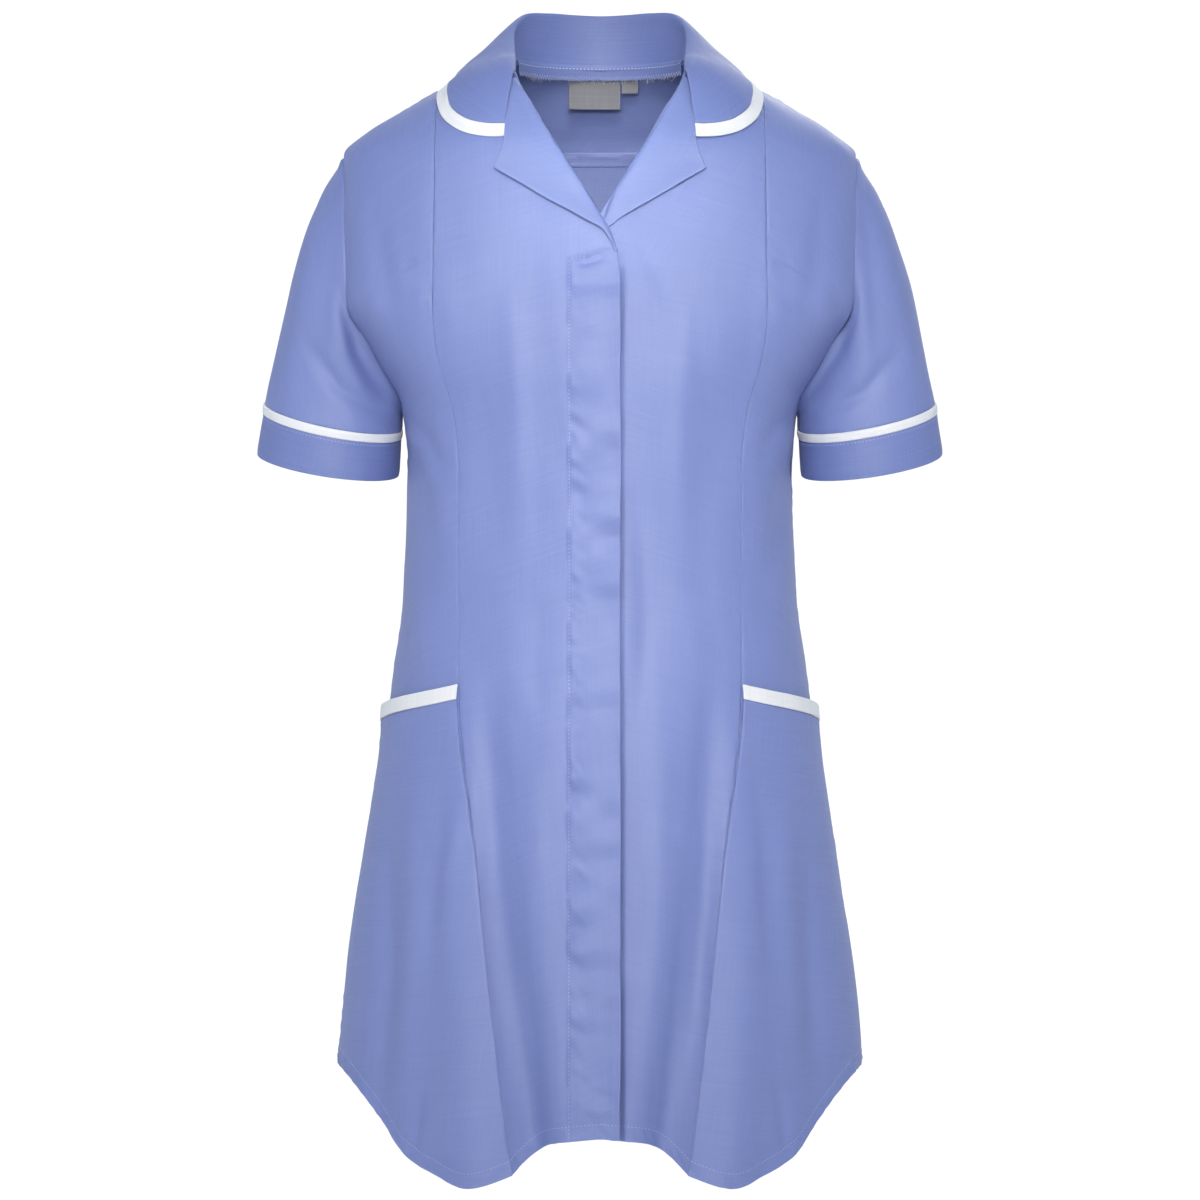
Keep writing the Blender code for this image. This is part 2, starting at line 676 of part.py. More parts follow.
def collar(tree, cloth, trim):
    """The stand and leaf in one folded band, and the binding of the leaf's outer edge."""
    lying = CLOTH + COLLAR_LIFT
    half = []
    for station in COLLAR:
        neck, fold, edge = [Vector(p) for p in station]
        edge = seated(tree, edge, lying)
        reach = (edge - fold).length
        cut = 1 - COLLAR_TRIM / reach
        away = Vector((neck.x, neck.y, 0)).normalized() * STAND_BULGE
        stand = [neck.lerp(fold, s) + away * sin(pi * s) for s in STAND_ROWS]
        stand = [clear_of(tree, point, LAP_GAP) for point in stand]
        stop = cut - SEAM_GAP / reach
        leaf = [leaf_point(tree, fold, edge, s * stop, lying) for s in LEAF_ROWS]
        bound = [leaf_point(tree, fold, edge, s, lying + TRIM_PROUD) for s in (cut, (1 + cut) / 2, 1)]
        half.append((stand + leaf, bound))
    stations = [(-1, piece) for piece in reversed(half[1:])] + [(1, piece) for piece in half]
    for name, part, thick, material in (("collar", 0, CLOTH, cloth), ("collar_binding", 1, TRIM, trim)):
        columns = [[Vector((p.x * side, p.y, p.z)) for p in piece[part]] for side, piece in stations]
        grid = [list(line) for line in zip(*columns)]
        normals = average_normals(grid, False)
        last = normals[-1][len(columns) // 2]
        if last.y < 0:
            normals = [[-n for n in line] for line in normals]
        wall(name, grid, [[n * -thick for n in line] for line in normals], material)


def rever(name, side, stations, material):
    """A turned-back front, lying just off its panel."""
    places = []
    for share in between(0, 1, REVER_COLUMNS):
        line = []
        for station in stations:
            across = station.roll[0] + (station.outer[0] - station.roll[0]) * share
            drop = station.roll[1] + (station.outer[1] - station.roll[1]) * share
            line.append([angle_at(side * across, drop), drop])
        places.append(line)

    def out(angle, drop):
        lap = lap_out(angle, drop) if side < 0 else 0.0
        return lap + REVER_CLOTH + REVER_GAP

    body_wall(name, places, material, out=out, thick=REVER_CLOTH)


def label(name, edges, columns, material):
    """A small bare label that hangs from the inside of the back neck."""
    left, right, top, bottom = edges
    face = []
    for drop in between(top, bottom, 2):
        line = []
        for across in between(left, right, columns):
            half_width, _, depth, square = ring(top)
            share = abs(across) / half_width
            angle = atan2(across, -depth * (1 - share**square) ** (1 / square))
            point = on_body(angle, top, -CLOTH - LABEL_GAP)
            line.append(point + Vector((0, 0, top - drop)))
        face.append(line)
    inward = [[Vector((0, -LABEL_TAPE, 0)) for _ in line] for line in face]
    wall(name, face, inward, material)


def main():
    """Model the whole tunic."""
    clear_scene()
    blue = cloth_material("body cloth", BLUE, 0.75)
    side_blue = cloth_material("side cloth", SIDE_BLUE, 0.75)
    sleeve_blue = cloth_material("sleeve cloth", SLEEVE_BLUE, 0.75)
    rever_blue = cloth_material("rever cloth", REVER_BLUE, 0.75)
    white = cloth_material("white binding", WHITE, 0.7)
    grey = cloth_material("label tape", GREY, 0.6)

    faces = [
        centre_front("front_right", -1, blue, 12),
        centre_front("front_left", 1, blue, 10),
        side_front("side_front_right", -1, side_blue, 8),
        side_front("side_front_left", 1, side_blue, 8),
        back_yoke(blue, 22),
    ]
    back(blue, 32)
    for side_name, side in (("right", -1), ("left", 1)):
        pocket(side_name, side, side_blue, white, 8)
        sleeve(side_name, side, sleeve_blue, white)
    collar(tree_of(faces), blue, white)
    rever("lapel_right", -1, REVERS + RIGHT_REVER_END, rever_blue)
    rever("lapel_left", 1, REVERS + LEFT_REVER_END, rever_blue)
    label("neck_label", NECK_LABEL, 4, grey)
    label("size_tab", SIZE_TAB, 2, grey)


main()
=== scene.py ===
# %% [markdown]
# A maternity tunic with a bound collar, revers and two bound hip pockets.
#
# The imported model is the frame: it has every cut piece as a plain thin solid in its place.
# This lesson gives each of them the finish of real cloth. Lengths are metres, X runs to the
# wearer's left, the front faces -Y and Z is up. The middle of the neck is the origin.

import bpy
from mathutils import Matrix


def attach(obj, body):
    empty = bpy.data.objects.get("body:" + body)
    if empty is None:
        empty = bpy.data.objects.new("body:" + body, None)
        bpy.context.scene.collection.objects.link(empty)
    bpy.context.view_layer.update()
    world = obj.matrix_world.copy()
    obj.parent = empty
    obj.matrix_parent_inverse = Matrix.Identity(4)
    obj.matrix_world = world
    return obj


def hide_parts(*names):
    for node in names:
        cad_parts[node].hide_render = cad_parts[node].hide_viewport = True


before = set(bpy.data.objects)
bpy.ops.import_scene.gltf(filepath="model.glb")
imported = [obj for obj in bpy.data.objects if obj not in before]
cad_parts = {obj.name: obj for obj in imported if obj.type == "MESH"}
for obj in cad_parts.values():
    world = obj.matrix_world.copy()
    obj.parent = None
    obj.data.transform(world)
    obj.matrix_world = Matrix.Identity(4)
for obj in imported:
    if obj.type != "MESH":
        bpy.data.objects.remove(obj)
print("pieces in the frame:", len(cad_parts))

# %% [markdown]
# Tools and a few numbers come first: a millimetre, a full turn and the frame's pieces by name.

# %% Tools and numbers
import math

import bmesh
import bpy
import numpy as np
from mathutils import Vector
from mathutils.bvhtree import BVHTree

MM = 0.001
TURN = 2 * math.pi
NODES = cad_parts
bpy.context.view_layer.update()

# %% [markdown]
# The picture was taken square on from the front with a long lens. One pixel of the
# 1200 pixel square is 0.77 mm at the wearer's middle. A camera 4 m away with a lens that
# takes in 0.924 m there has the same frame.

# %% Camera
FRAME_HEIGHT = 0.924
EYE_HEIGHT = -0.41426
EYE_AWAY = 4.0
SENSOR = 36.0

lens = bpy.data.cameras.new("camera")
lens.sensor_width = SENSOR
lens.lens = SENSOR * EYE_AWAY / FRAME_HEIGHT
camera = bpy.data.objects.new("camera", lens)
camera.location = (0, -EYE_AWAY, EYE_HEIGHT)
camera.rotation_euler = (math.radians(90), 0, 0)
bpy.context.scene.collection.objects.link(camera)
bpy.context.scene.camera = camera
print("lens in mm:", round(lens.lens, 1))

# %% [markdown]
# The light is that of a white studio. The surround looks white, but gives the cloth only a
# soft bluish light from all round. A broad lamp near the camera lights the front, and a
# narrow warm one from above makes the pale sheen on the chest. A faint one reaches into the
# neck, one at each side keeps the flanks from going dark, and one behind is for the back.

# %% Surround and lamps
SURROUND = (0.74, 0.83, 1.0)
SURROUND_STRENGTH = 0.7
WHITE_SEEN = 1.05


def add_node(tree, kind, inputs=None, **settings):
    """A shader node with its settings. Its inputs are values or the outputs of other nodes."""
    node = tree.nodes.new("ShaderNode" + kind)
    for name, value in settings.items():
        setattr(node, name, value)
    for socket, value in (inputs or {}).items():
        if isinstance(value, bpy.types.NodeSocket):
            tree.links.new(value, node.inputs[socket])
        else:
            node.inputs[socket].default_value = value
    return node


world = bpy.data.worlds.new("white surround")
world.use_nodes = True
sky = world.node_tree
soft = sky.nodes["Background"]
soft.inputs["Color"].default_value = (*SURROUND, 1)
soft.inputs["Strength"].default_value = SURROUND_STRENGTH
seen = add_node(sky, "Background", {"Color": (1, 1, 1, 1), "Strength": WHITE_SEEN})
ray = add_node(sky, "LightPath").outputs["Is Camera Ray"]
choice = add_node(sky, "MixShader", {0: ray, 1: soft.outputs[0], 2: seen.outputs[0]})
sky.links.new(choice.outputs[0], sky.nodes["World Output"].inputs["Surface"])
bpy.context.scene.world = world
bpy.context.scene.view_settings.view_transform = "Standard"


def soft_lamp(name, place, aim, size, power, colour, spread=180):
    """A square area lamp at a place, turned to what it lights, with a spread in degrees."""
    lamp = bpy.data.lights.new(name, "AREA")
    lamp.size = size
    lamp.spread = math.radians(spread)
    lamp.energy = power
    lamp.color = colour
    holder = bpy.data.objects.new(name, lamp)
    bpy.context.scene.collection.objects.link(holder)
    holder.location = place
    holder.rotation_euler = (Vector(aim) - Vector(place)).to_track_quat("-Z", "Y").to_euler()
    holder.visible_camera = False


soft_lamp("chest lamp", (0, -2.4, 0.75), (0, -0.1, -0.32),
          size=0.7, power=1.3, colour=(1.0, 0.97, 0.88), spread=24)
soft_lamp("front lamp", (0, -3.9, -0.2), (0, 0, -0.3),
          size=1.4, power=31, colour=(1.0, 0.98, 0.93))
soft_lamp("neck lamp", (0, -1.2, 0.02), (0, 0.05, -0.075),
          size=0.12, power=0.05, colour=(0.97, 0.99, 1.0), spread=12)
for side_name, across, power in (("right", -2.6, 4.5), ("left", 2.6, 2.5)):
    soft_lamp("side lamp " + side_name, (across, -0.9, -0.35), (0, 0, -0.4),
              size=1.0, power=power, colour=(1.0, 0.99, 0.97))
soft_lamp("back lamp", (0.6, 3.2, 1.6), (0, 0, -0.3),
          size=2.2, power=55, colour=(1.0, 0.98, 0.9))

# %% [markdown]
# The floor is where the wearer would stand, far below the hem. It is wide enough for every
# view and ends before it would come into the front view, which stays plain white.

# %% Floor
FLOOR_LEVEL = -1.38
FLOOR_RADIUS = 4.0

bpy.ops.object.select_all(action="DESELECT")
bpy.ops.mesh.primitive_circle_add(
    vertices=96, radius=FLOOR_RADIUS, fill_type="NGON", location=(0, 0, FLOOR_LEVEL)
)
floor = bpy.context.object
floor.name = "floor"
bpy.ops.object.transform_apply(location=True)
paint = bpy.data.materials.new("pale floor")
paint.use_nodes = True
coat = paint.node_tree.nodes["Principled BSDF"]
coat.inputs["Base Color"].default_value = (0.95, 0.92, 0.86, 1)
coat.inputs["Roughness"].default_value = 0.9
floor.data.materials.append(paint)
print("floor radius:", FLOOR_RADIUS)

# %% [markdown]
# All cloths on the tunic are woven, so they share one effect: threads of uneven thickness
# that run down and across, a fine over-and-under, soft patches where the dye took
# differently, and paler rubbed edges. It is built once as a node group that reads the cloth's
# own map, in metres, and puts out masks only.

# %% Woven threads, as a shared group


def woven_threads():
    """A node group with masks for threads, weave, patches, rubbed and doubled cloth."""
    group = bpy.data.node_groups.new("woven threads", "ShaderNodeTree")
    for name, value in (("Threads", 1300.0), ("Weave", 2600.0), ("Patches", 16.0)):
        socket = group.interface.new_socket(name, in_out="INPUT", socket_type="NodeSocketFloat")
        socket.default_value = value
    for name in ("Thread Mask", "Weave Height", "Patch Mask", "Worn", "Doubled"):
        group.interface.new_socket(name, in_out="OUTPUT", socket_type="NodeSocketFloat")
    given, out = group.nodes.new("NodeGroupInput"), group.nodes.new("NodeGroupOutput")

    def maths(kind, first, second):
        return add_node(group, "Math", {0: first, 1: second}, operation=kind).outputs[0]

    spot = add_node(group, "UVMap", uv_map="cloth")
    split = add_node(group, "SeparateXYZ", {0: spot.outputs[0]})
    across, down = split.outputs[0], split.outputs[1]
    long_way = 0.016

    def streaks(u_scale, v_scale, shift):
        sides = []
        for coordinate, scale in ((across, u_scale), (down, v_scale)):
            scaled = maths("MULTIPLY", given.outputs["Threads"], scale)
            sides.append(maths("MULTIPLY", coordinate, scaled))
        place = add_node(group, "CombineXYZ", {0: sides[0], 1: sides[1], 2: shift}).outputs[0]
        grain = {"Vector": place, "Scale": 1.0, "Detail": 3.0, "Roughness": 0.6}
        return add_node(group, "TexNoise", grain).outputs[0]

    both = maths("ADD", streaks(1.0, long_way, 0.0), streaks(long_way, 1.0, 7.3))
    spread = add_node(group, "MapRange", {"Value": both, "From Min": 0.72, "From Max": 1.28})
    waves = []
    for coordinate in (across, down):
        turned = maths("MULTIPLY", coordinate, given.outputs["Weave"])
        waves.append(maths("SINE", maths("MULTIPLY", turned, TURN), 0.0))
    where = add_node(group, "TexCoord").outputs["Object"]
    cloudy = {"Vector": where, "Scale": given.outputs["Patches"], "Detail": 2.0}
    masks = {
        "Thread Mask": spread.outputs[0],
        "Weave Height": maths("MULTIPLY", *waves),
        "Patch Mask": add_node(group, "TexNoise", cloudy).outputs[0],
        "Worn": add_node(group, "Attribute", attribute_name="worn").outputs["Fac"],
        "Doubled": add_node(group, "Attribute", attribute_name="doubled").outputs["Fac"],
    }
    for name, mask in masks.items():
        group.links.new(mask, out.inputs[name])
    return group


WOVEN = woven_threads()
print("sockets of the woven group:", len(WOVEN.interface.items_tree))

# %% [markdown]
# Each cloth is then a material with its own colours. The tunic is a fine cotton blend
# poplin, cornflower blue, with a light finish that shines softly where it faces the lamp.
# The collar and the cuffs are cut double; their copy of the poplin is painted darker, as painted
# shade, and so is that of the revers, a little less.
# The bindings are white drill and the labels a grey tape. Constant values, such as the
# strength of the gloss, sit on the shader itself.

# %% Cloth materials


def cloth_finish(name, deep, pale, rubbed, roughness, gloss, sheen, relief, **scales):
    """A woven material between two colours, paler where it is rubbed or doubled."""
    material = bpy.data.materials.new(name)
    material.use_nodes = True
    tree = material.node_tree
    shader = tree.nodes["Principled BSDF"]
    shader.inputs["Specular IOR Level"].default_value = gloss
    shader.inputs["Sheen Weight"].default_value = sheen
    shader.inputs["Sheen Roughness"].default_value = 0.45
    woven = add_node(tree, "Group", node_tree=WOVEN)
    for socket, value in scales.items():
        woven.inputs[socket].default_value = value

    def mixed(mask, strength, first, second):
        share = add_node(tree, "Math", {0: woven.outputs[mask], 1: strength}, operation="MULTIPLY")
        inputs = {"Factor": share.outputs[0]}
        for socket, colour in ((6, first), (7, second)):
            inputs[socket] = (*colour, 1) if isinstance(colour, tuple) else colour
        return add_node(tree, "Mix", inputs, data_type="RGBA").outputs[2]

    threads = mixed("Thread Mask", 1.0, deep, pale)
    patches = mixed("Patch Mask", 0.5, threads, tuple(0.86 * part for part in deep))
    doubled = mixed("Doubled", 0.12, patches, pale)
    thread_mask, weave = woven.outputs["Thread Mask"], woven.outputs["Weave Height"]
    ends = {"Value": thread_mask, "To Min": roughness + 0.05, "To Max": roughness - 0.05}
    height = add_node(tree, "Math", {0: weave, 1: 0.35, 2: thread_mask}, operation="MULTIPLY_ADD")
    bumps = {"Height": height.outputs[0], "Strength": relief, "Distance": 0.06 * MM}
    tree.links.new(mixed("Worn", 0.25, doubled, rubbed), shader.inputs["Base Color"])
    tree.links.new(add_node(tree, "MapRange", ends).outputs[0], shader.inputs["Roughness"])
    tree.links.new(add_node(tree, "Bump", bumps).outputs[0], shader.inputs["Normal"])
    return material


poplin = cloth_finish(
    "cornflower poplin", (0.148, 0.194, 0.448), (0.180, 0.228, 0.498), (0.23, 0.28, 0.56),
    roughness=0.56, gloss=0.85, sheen=0.06, relief=0.5,
)
# A copy of the poplin painted a little darker, as painted shade on the revers.
facing_painted_shade = cloth_finish(
    "facing poplin", (0.142, 0.188, 0.425), (0.172, 0.221, 0.475), (0.24, 0.29, 0.57),
    roughness=0.56, gloss=0.85, sheen=0.06, relief=0.5,
)
# A copy of the poplin painted darker, as painted shade on the collar and the cuffs.
doubled_painted_shade = cloth_finish(
    "lined poplin", (0.126, 0.168, 0.402), (0.154, 0.199, 0.448), (0.22, 0.27, 0.54),
    roughness=0.58, gloss=0.7, sheen=0.06, relief=0.5,
)
drill = cloth_finish(
    "white drill", (0.70, 0.70, 0.71), (0.80, 0.80, 0.80), (0.85, 0.85, 0.85),
    roughness=0.7, gloss=0.3, sheen=0.1, relief=0.9, Threads=900.0, Weave=1500.0,
)
tape = cloth_finish(
    "grey label tape", (0.155, 0.155, 0.17), (0.205, 0.205, 0.222), (0.25, 0.25, 0.27),
    roughness=0.6, gloss=0.4, sheen=0.1, relief=0.4, Threads=1500.0, Weave=1100.0,
)
pale_thread = cloth_finish(
    "pale blue thread", (0.31, 0.38, 0.65), (0.44, 0.50, 0.76), (0.5, 0.56, 0.8),
    roughness=0.5, gloss=0.5, sheen=0.1, relief=0.3,
)
white_thread = cloth_finish(
    "white thread", (0.7, 0.72, 0.78), (0.82, 0.83, 0.86), (0.9, 0.9, 0.9),
    roughness=0.55, gloss=0.4, sheen=0.1, relief=0.3,
)
finishes = (poplin, facing_painted_shade, doubled_painted_shade, drill, tape, pale_thread, white_thread)
print("cloth materials:", [material.name for material in finishes])

# %% [markdown]
# Every node in the frame is a wall: a grid of points outside, the same grid inside and a
# narrow rim between them, all cut into loose triangles. To work on the cloth we want the
# outer grid back in rows and columns. A copy is merged, and every triangle with an edge as
# long as the wall is thick is rim and goes. What is left falls into two sheets, and the
# outer one is the larger.

# %% Find the outer sheet of a wall
SAME = 0.003 * MM
PANEL_WALL = 1.2


def sheets_of(faces):
    """Connected groups of faces."""
    left = set(faces)
    while left:
        group, queue = set(), [left.pop()]
        while queue:
            face = queue.pop()
            group.add(face)
            for edge in face.edges:
                for other in edge.link_faces:
                    if other in left:
                        left.remove(other)
                        queue.append(other)
        yield group


def outer_sheet(node, thick):
    """Points and triangles of the sheet that shows."""
    bm = bmesh.new()
    bm.from_mesh(NODES[node].data)
    bmesh.ops.remove_doubles(bm, verts=bm.verts[:], dist=0.01 * MM)

    def crosses(face):
        return any(abs(edge.calc_length() - thick * MM) < SAME for edge in face.edges)

    sheets = sheets_of(face for face in bm.faces if not crosses(face))
    best = max(sheets, key=lambda group: sum(face.calc_area() for face in group))
    order = {}
    for face in sorted(best, key=lambda face: face.index):
        for vert in face.verts:
            order.setdefault(vert, len(order))
    points = np.array([vert.co[:] for vert in order])
    triangles = [tuple(order[v] for v in face.verts) for face in best]
    bm.free()
    return points, triangles


def boundary_lines(triangles):
    """Closed lines of points along the free edges."""
    after = {}
    edges = {(t[i], t[(i + 1) % 3]) for t in triangles for i in range(3)}
    for a, b in edges:
        if (b, a) not in edges:
            after[a] = b
    while after:
        start = min(after)
        line, at = [start], after.pop(start)
        while at != start:
            line.append(at)
            at = after.pop(at)
        yield line


print("points of the right front:", len(outer_sheet("front_right", PANEL_WALL)[0]))

# %% [markdown]
# The rim of a sheet is a closed line of points. With the number of all points it gives the
# number of rows and columns, and the four corners are where that line turns the most. From
# the top row the next one is found triangle by triangle, down to the hem. In the end the
# columns run from left to right as seen from outside the cloth.

# %% Read the sheet in rows and columns


def next_row(row, first, across, used):
    """The row below a row, by its triangles, from its first point on, or None."""
    found, taken = [first], set(used)

    def beyond(a, b):
        return next(((t, v) for t, v in across.get(frozenset((a, b)), ()) if t not in taken), None)

    for a, b in zip(row, row[1:]):
        upper = beyond(a, b)
        if upper is None:
            return None
        taken.add(upper[0])
        third = upper[1]
        lower = beyond(third, b) if third == found[-1] else beyond(third, a)
        if lower is None or (third != found[-1] and lower[1] != found[-1]):
            return None
        taken.add(lower[0])
        found.append(lower[1] if third == found[-1] else third)
    if row[0] == row[-1] and found[0] != found[-1]:
        return None
    used |= taken
    return found


def top_row(points, line, sides):
    """The highest side of an open sheet whose rim line is known, and the number of rows."""
    spots = points[line]
    into = spots - np.roll(spots, 1, axis=0)
    out = np.roll(spots, -1, axis=0) - spots
    into /= np.linalg.norm(into, axis=1)[:, None]
    out /= np.linalg.norm(out, axis=1)[:, None]
    sharp = 1 - (into * out).sum(axis=1)
    best = None
    total = len(line)
    for columns, rows in {(sides[0], sides[-1]), (sides[-1], sides[0])}:
        for i in range(total):
            ends = [i, i + columns - 1, i + columns + rows - 2, i + 2 * columns + rows - 3]
            score = sum(sharp[e % total] for e in ends)
            height = np.mean([spots[(i + k) % total][2] for k in range(columns)])
            key = (round(score, 6), height)
            if best is None or key > best[0]:
                best = (key, [line[(i + k) % total] for k in range(columns)], rows)
    return best[1], best[2]


def grid_of(node, thick, closed):
    """The outer sheet as an array of rows, columns and three numbers, top row first."""
    points, triangles = outer_sheet(node, thick)
    across = {}
    for t, (a, b, c) in enumerate(triangles):
        for edge, third in (((a, b), c), ((b, c), a), ((c, a), b)):
            across.setdefault(frozenset(edge), []).append((t, third))
    lines = sorted(boundary_lines(triangles), key=lambda line: -points[line][:, 2].mean())
    if closed:
        row = lines[0]
        start = int(np.argmin(abs(points[row][:, 0])))
        row = row[start:] + row[:start]
        row = row + row[:1]
        count = len(points) // (len(row) - 1)
    else:
        half = len(lines[0]) // 2 + 2
        gap = math.sqrt(max(0.0, half * half / 4 - len(points)))
        row, count = top_row(points, lines[0], (round(half / 2 - gap), round(half / 2 + gap)))
    rows, used = [row], set()
    for _ in range(count - 1):
        row = rows[-1]
        ahead = points[row[1]] - points[row[0]]
        known = set(row) | (set(rows[-2]) if len(rows) > 1 else set())
        near = {v for edge in across if row[0] in edge for v in edge} - known

        def turned(v):
            way = points[v] - points[row[0]]
            return abs(way @ ahead) / np.linalg.norm(way)

        walks = (next_row(row, first, across, used) for first in sorted(near, key=turned))
        rows.append(next(walk for walk in walks if walk))
    return points[np.array(rows)][:, ::-1]


print("its rows and columns:", grid_of("front_right", PANEL_WALL, False).shape[:2])

# %% [markdown]
# Between the frame's rows and columns the cloth is a smooth curve through the points. The
# finer grid has a point every two to four millimetres, which leaves room for puckers along
# the seams, and a few lines close together at its edges, where the cloth dips into them.

# %% Finer grids
CLOSE_LINES = np.array([0, 0.4, 0.9, 1.7]) * MM


def tangents(points, knots):
    """Slopes of a smooth curve through points at uneven knots, along the first axis."""
    step = np.diff(knots)[:, None, None]
    rise = np.diff(points, axis=0) / step
    slope = np.empty_like(points)
    slope[1:-1] = (rise[:-1] * step[1:] + rise[1:] * step[:-1]) / (step[:-1] + step[1:])
    slope[0] = 1.5 * rise[0] - 0.5 * slope[1]
    slope[-1] = 1.5 * rise[-1] - 0.5 * slope[-2]
    return slope


def smooth_rows(points, knots, spots):
    """Points of the smooth curve at other places than its knots, along the first axis."""
    slope = tangents(points, knots)
    cell = np.clip(np.searchsorted(knots, spots, side="right") - 1, 0, len(knots) - 2)
    step = (knots[cell + 1] - knots[cell])[:, None, None]
    t = ((spots - knots[cell]) / (knots[cell + 1] - knots[cell]))[:, None, None]
    near, far = points[cell], points[cell + 1]
    value = (2 * t**3 - 3 * t**2 + 1) * near + (3 * t**2 - 2 * t**3) * far
    return value + step * ((t**3 - 2 * t**2 + t) * slope[cell] + (t**3 - t**2) * slope[cell + 1])


def knots_of(points):
    """Mean distance travelled along the first axis."""
    leap = np.linalg.norm(np.diff(points, axis=0), axis=2).mean(axis=1)
    return np.concatenate([[0.0], np.cumsum(leap)])


def spots_for(length, step):
    """Places along a length, close together at both ends and even between."""
    inner = length - 2 * CLOSE_LINES[-1]
    even = CLOSE_LINES[-1] + np.linspace(0, inner, max(2, round(inner / (step * MM))) + 1)
    return np.concatenate([CLOSE_LINES[:-1], even, length - CLOSE_LINES[-2::-1]])


def finer(grid, steps, closed):
    """The grid with a point about every step, in millimetres, across and down."""
    if closed:
        around = np.concatenate([grid[:, -4:-1], grid, grid[:, 1:4]], axis=1).transpose(1, 0, 2)
        knots = knots_of(around)
        start, end = knots[3], knots[-4]
        spots = np.linspace(start, end, round((end - start) / (steps[0] * MM)) + 1)
        wide = smooth_rows(around, knots, spots).transpose(1, 0, 2)
        wide[:, -1] = wide[:, 0]
    else:
        turned = grid.transpose(1, 0, 2)
        knots = knots_of(turned)
        wide = smooth_rows(turned, knots, spots_for(knots[-1], steps[0])).transpose(1, 0, 2)
    knots = knots_of(wide)
    return smooth_rows(wide, knots, spots_for(knots[-1], steps[1]))


class Cloth:
    """A piece of cloth as a fine grid. Its fields are millimetres, one number a point."""

    def __init__(self, node, points, closed=False):
        self.node = node
        self.closed = closed
        self.points = points
        self.measure()

    def measure(self):
        """Distances from the four edges along the cloth, its face and its coordinates."""
        leap = np.linalg.norm(np.diff(self.points, axis=1), axis=2) / MM
        fall = np.linalg.norm(np.diff(self.points, axis=0), axis=2) / MM
        self.left = np.concatenate([np.zeros((len(leap), 1)), np.cumsum(leap, axis=1)], axis=1)
        self.top = np.concatenate([np.zeros((1, fall.shape[1])), np.cumsum(fall, axis=0)])
        self.right = self.left[:, -1:] - self.left
        self.bottom = self.top[-1:] - self.top
        self.edge = np.minimum(self.top, self.bottom)
        if not self.closed:
            self.edge = np.minimum(self.edge, np.minimum(self.left, self.right))
        self.x, self.y, self.z = np.moveaxis(self.points, 2, 0) / MM
        self.face = self.directions(self.points)[0]

    def directions(self, points):
        """Unit directions out of the cloth, down it and across it."""
        if self.closed:
            ring = np.concatenate([points[:, -2:-1], points, points[:, 1:2]], axis=1)
            wide = ring[:, 2:] - ring[:, :-2]
        else:
            wide = np.gradient(points, axis=1)
        tall = np.gradient(points, axis=0)
        ways = np.cross(tall, wide), tall, wide
        return [way / np.maximum(np.linalg.norm(way, axis=2), 1e-12)[:, :, None] for way in ways]

    def slide(self, across=0.0, up=0.0):
        """Move the points sideways and up, by fields in millimetres."""
        self.points = self.points.copy()
        self.points[:, :, 0] += across * MM
        self.points[:, :, 2] += up * MM
        self.measure()


def cloth_of(node, wall, steps, closed=False):
    """The fine grid of a node of the frame."""
    return Cloth(node, finer(grid_of(node, wall, closed), steps, closed), closed)


FRONT_STEPS = (1.8, 2.8)
front_right = cloth_of("front_right", PANEL_WALL, FRONT_STEPS)
print("fine rows and columns:", front_right.points.shape[:2])

# %% [markdown]
# Cloth is never flat. Its forms here are of three kinds: gentle hills and hollows, creases
# that are listed one by one, and the line of a seam, which dips and draws small puckers square
# to itself. Each is a function that gives a height in millimetres for every point.

# %% Heights on the cloth
CREASE_GAIN = 2.6
PUCKER_PITCH = 5.5
PUCKER_REACH = 7
HEM_BAND = 10.8


def bell(distance, width):
    """1 at the middle, dying away over a width."""
    return np.exp(-((distance / width) ** 2))


def ease(value, start, end):
    """Goes smoothly from 0 at the start to 1 at the end."""
    t = np.clip((value - start) / (end - start), 0, 1)
    return t * t * (3 - 2 * t)


def hills(u, v, seed):
    """Smooth hills and hollows from -1 to 1, one unit apart."""
    table = np.random.default_rng(seed).uniform(-1, 1, (64, 64))
    u, v = np.broadcast_arrays(u, v)
    i, j = np.floor(u).astype(int), np.floor(v).astype(int)
    s, t = ease(u - i, 0, 1), ease(v - j, 0, 1)

    def corner(a, b):
        return table[(i + a) % 64, (j + b) % 64]

    near = corner(0, 0) * (1 - s) + corner(1, 0) * s
    far = corner(0, 1) * (1 - s) + corner(1, 1) * s
    return near * (1 - t) + far * t


def crease(cloth, depth, width, path):
    """A soft ridge or trough along a line of (x, z) points that fades at both ends."""
    path = np.array(path, float)
    legs = np.diff(path, axis=0)
    reach = np.linalg.norm(legs, axis=1)
    begin = np.concatenate([[0], np.cumsum(reach)])
    best = np.full(cloth.x.shape, np.inf)
    share = np.zeros(cloth.x.shape)
    for (x, z), (dx, dz), leg, start in zip(path, legs, reach, begin):
        t = np.clip(((cloth.x - x) * dx + (cloth.z - z) * dz) / leg**2, 0, 1)
        away = np.hypot(cloth.x - x - t * dx, cloth.z - z - t * dz)
        share = np.where(away < best, (start + t * leg) / begin[-1], share)
        best = np.minimum(away, best)
    fading = np.sin(math.pi * np.clip(share, 0.01, 0.99)) ** 0.8
    return CREASE_GAIN * depth * bell(best, width) * fading


def creased(cloth, lift, lines):
    """A height with the placed creases added, each a depth, a width and a line."""
    for line in lines:
        lift = lift + crease(cloth, *line)
    return lift


def seam(away, along, seed, depth=0.6, dip=0.3):
    """The dip of a seam and the puckers that stand square to it."""
    ripple = hills((along + 0.4 * away) / PUCKER_PITCH, away / 9, seed)
    return depth * ripple * bell(away, PUCKER_REACH) * ease(away, 0, 1.6) - dip * bell(away, 1.0)


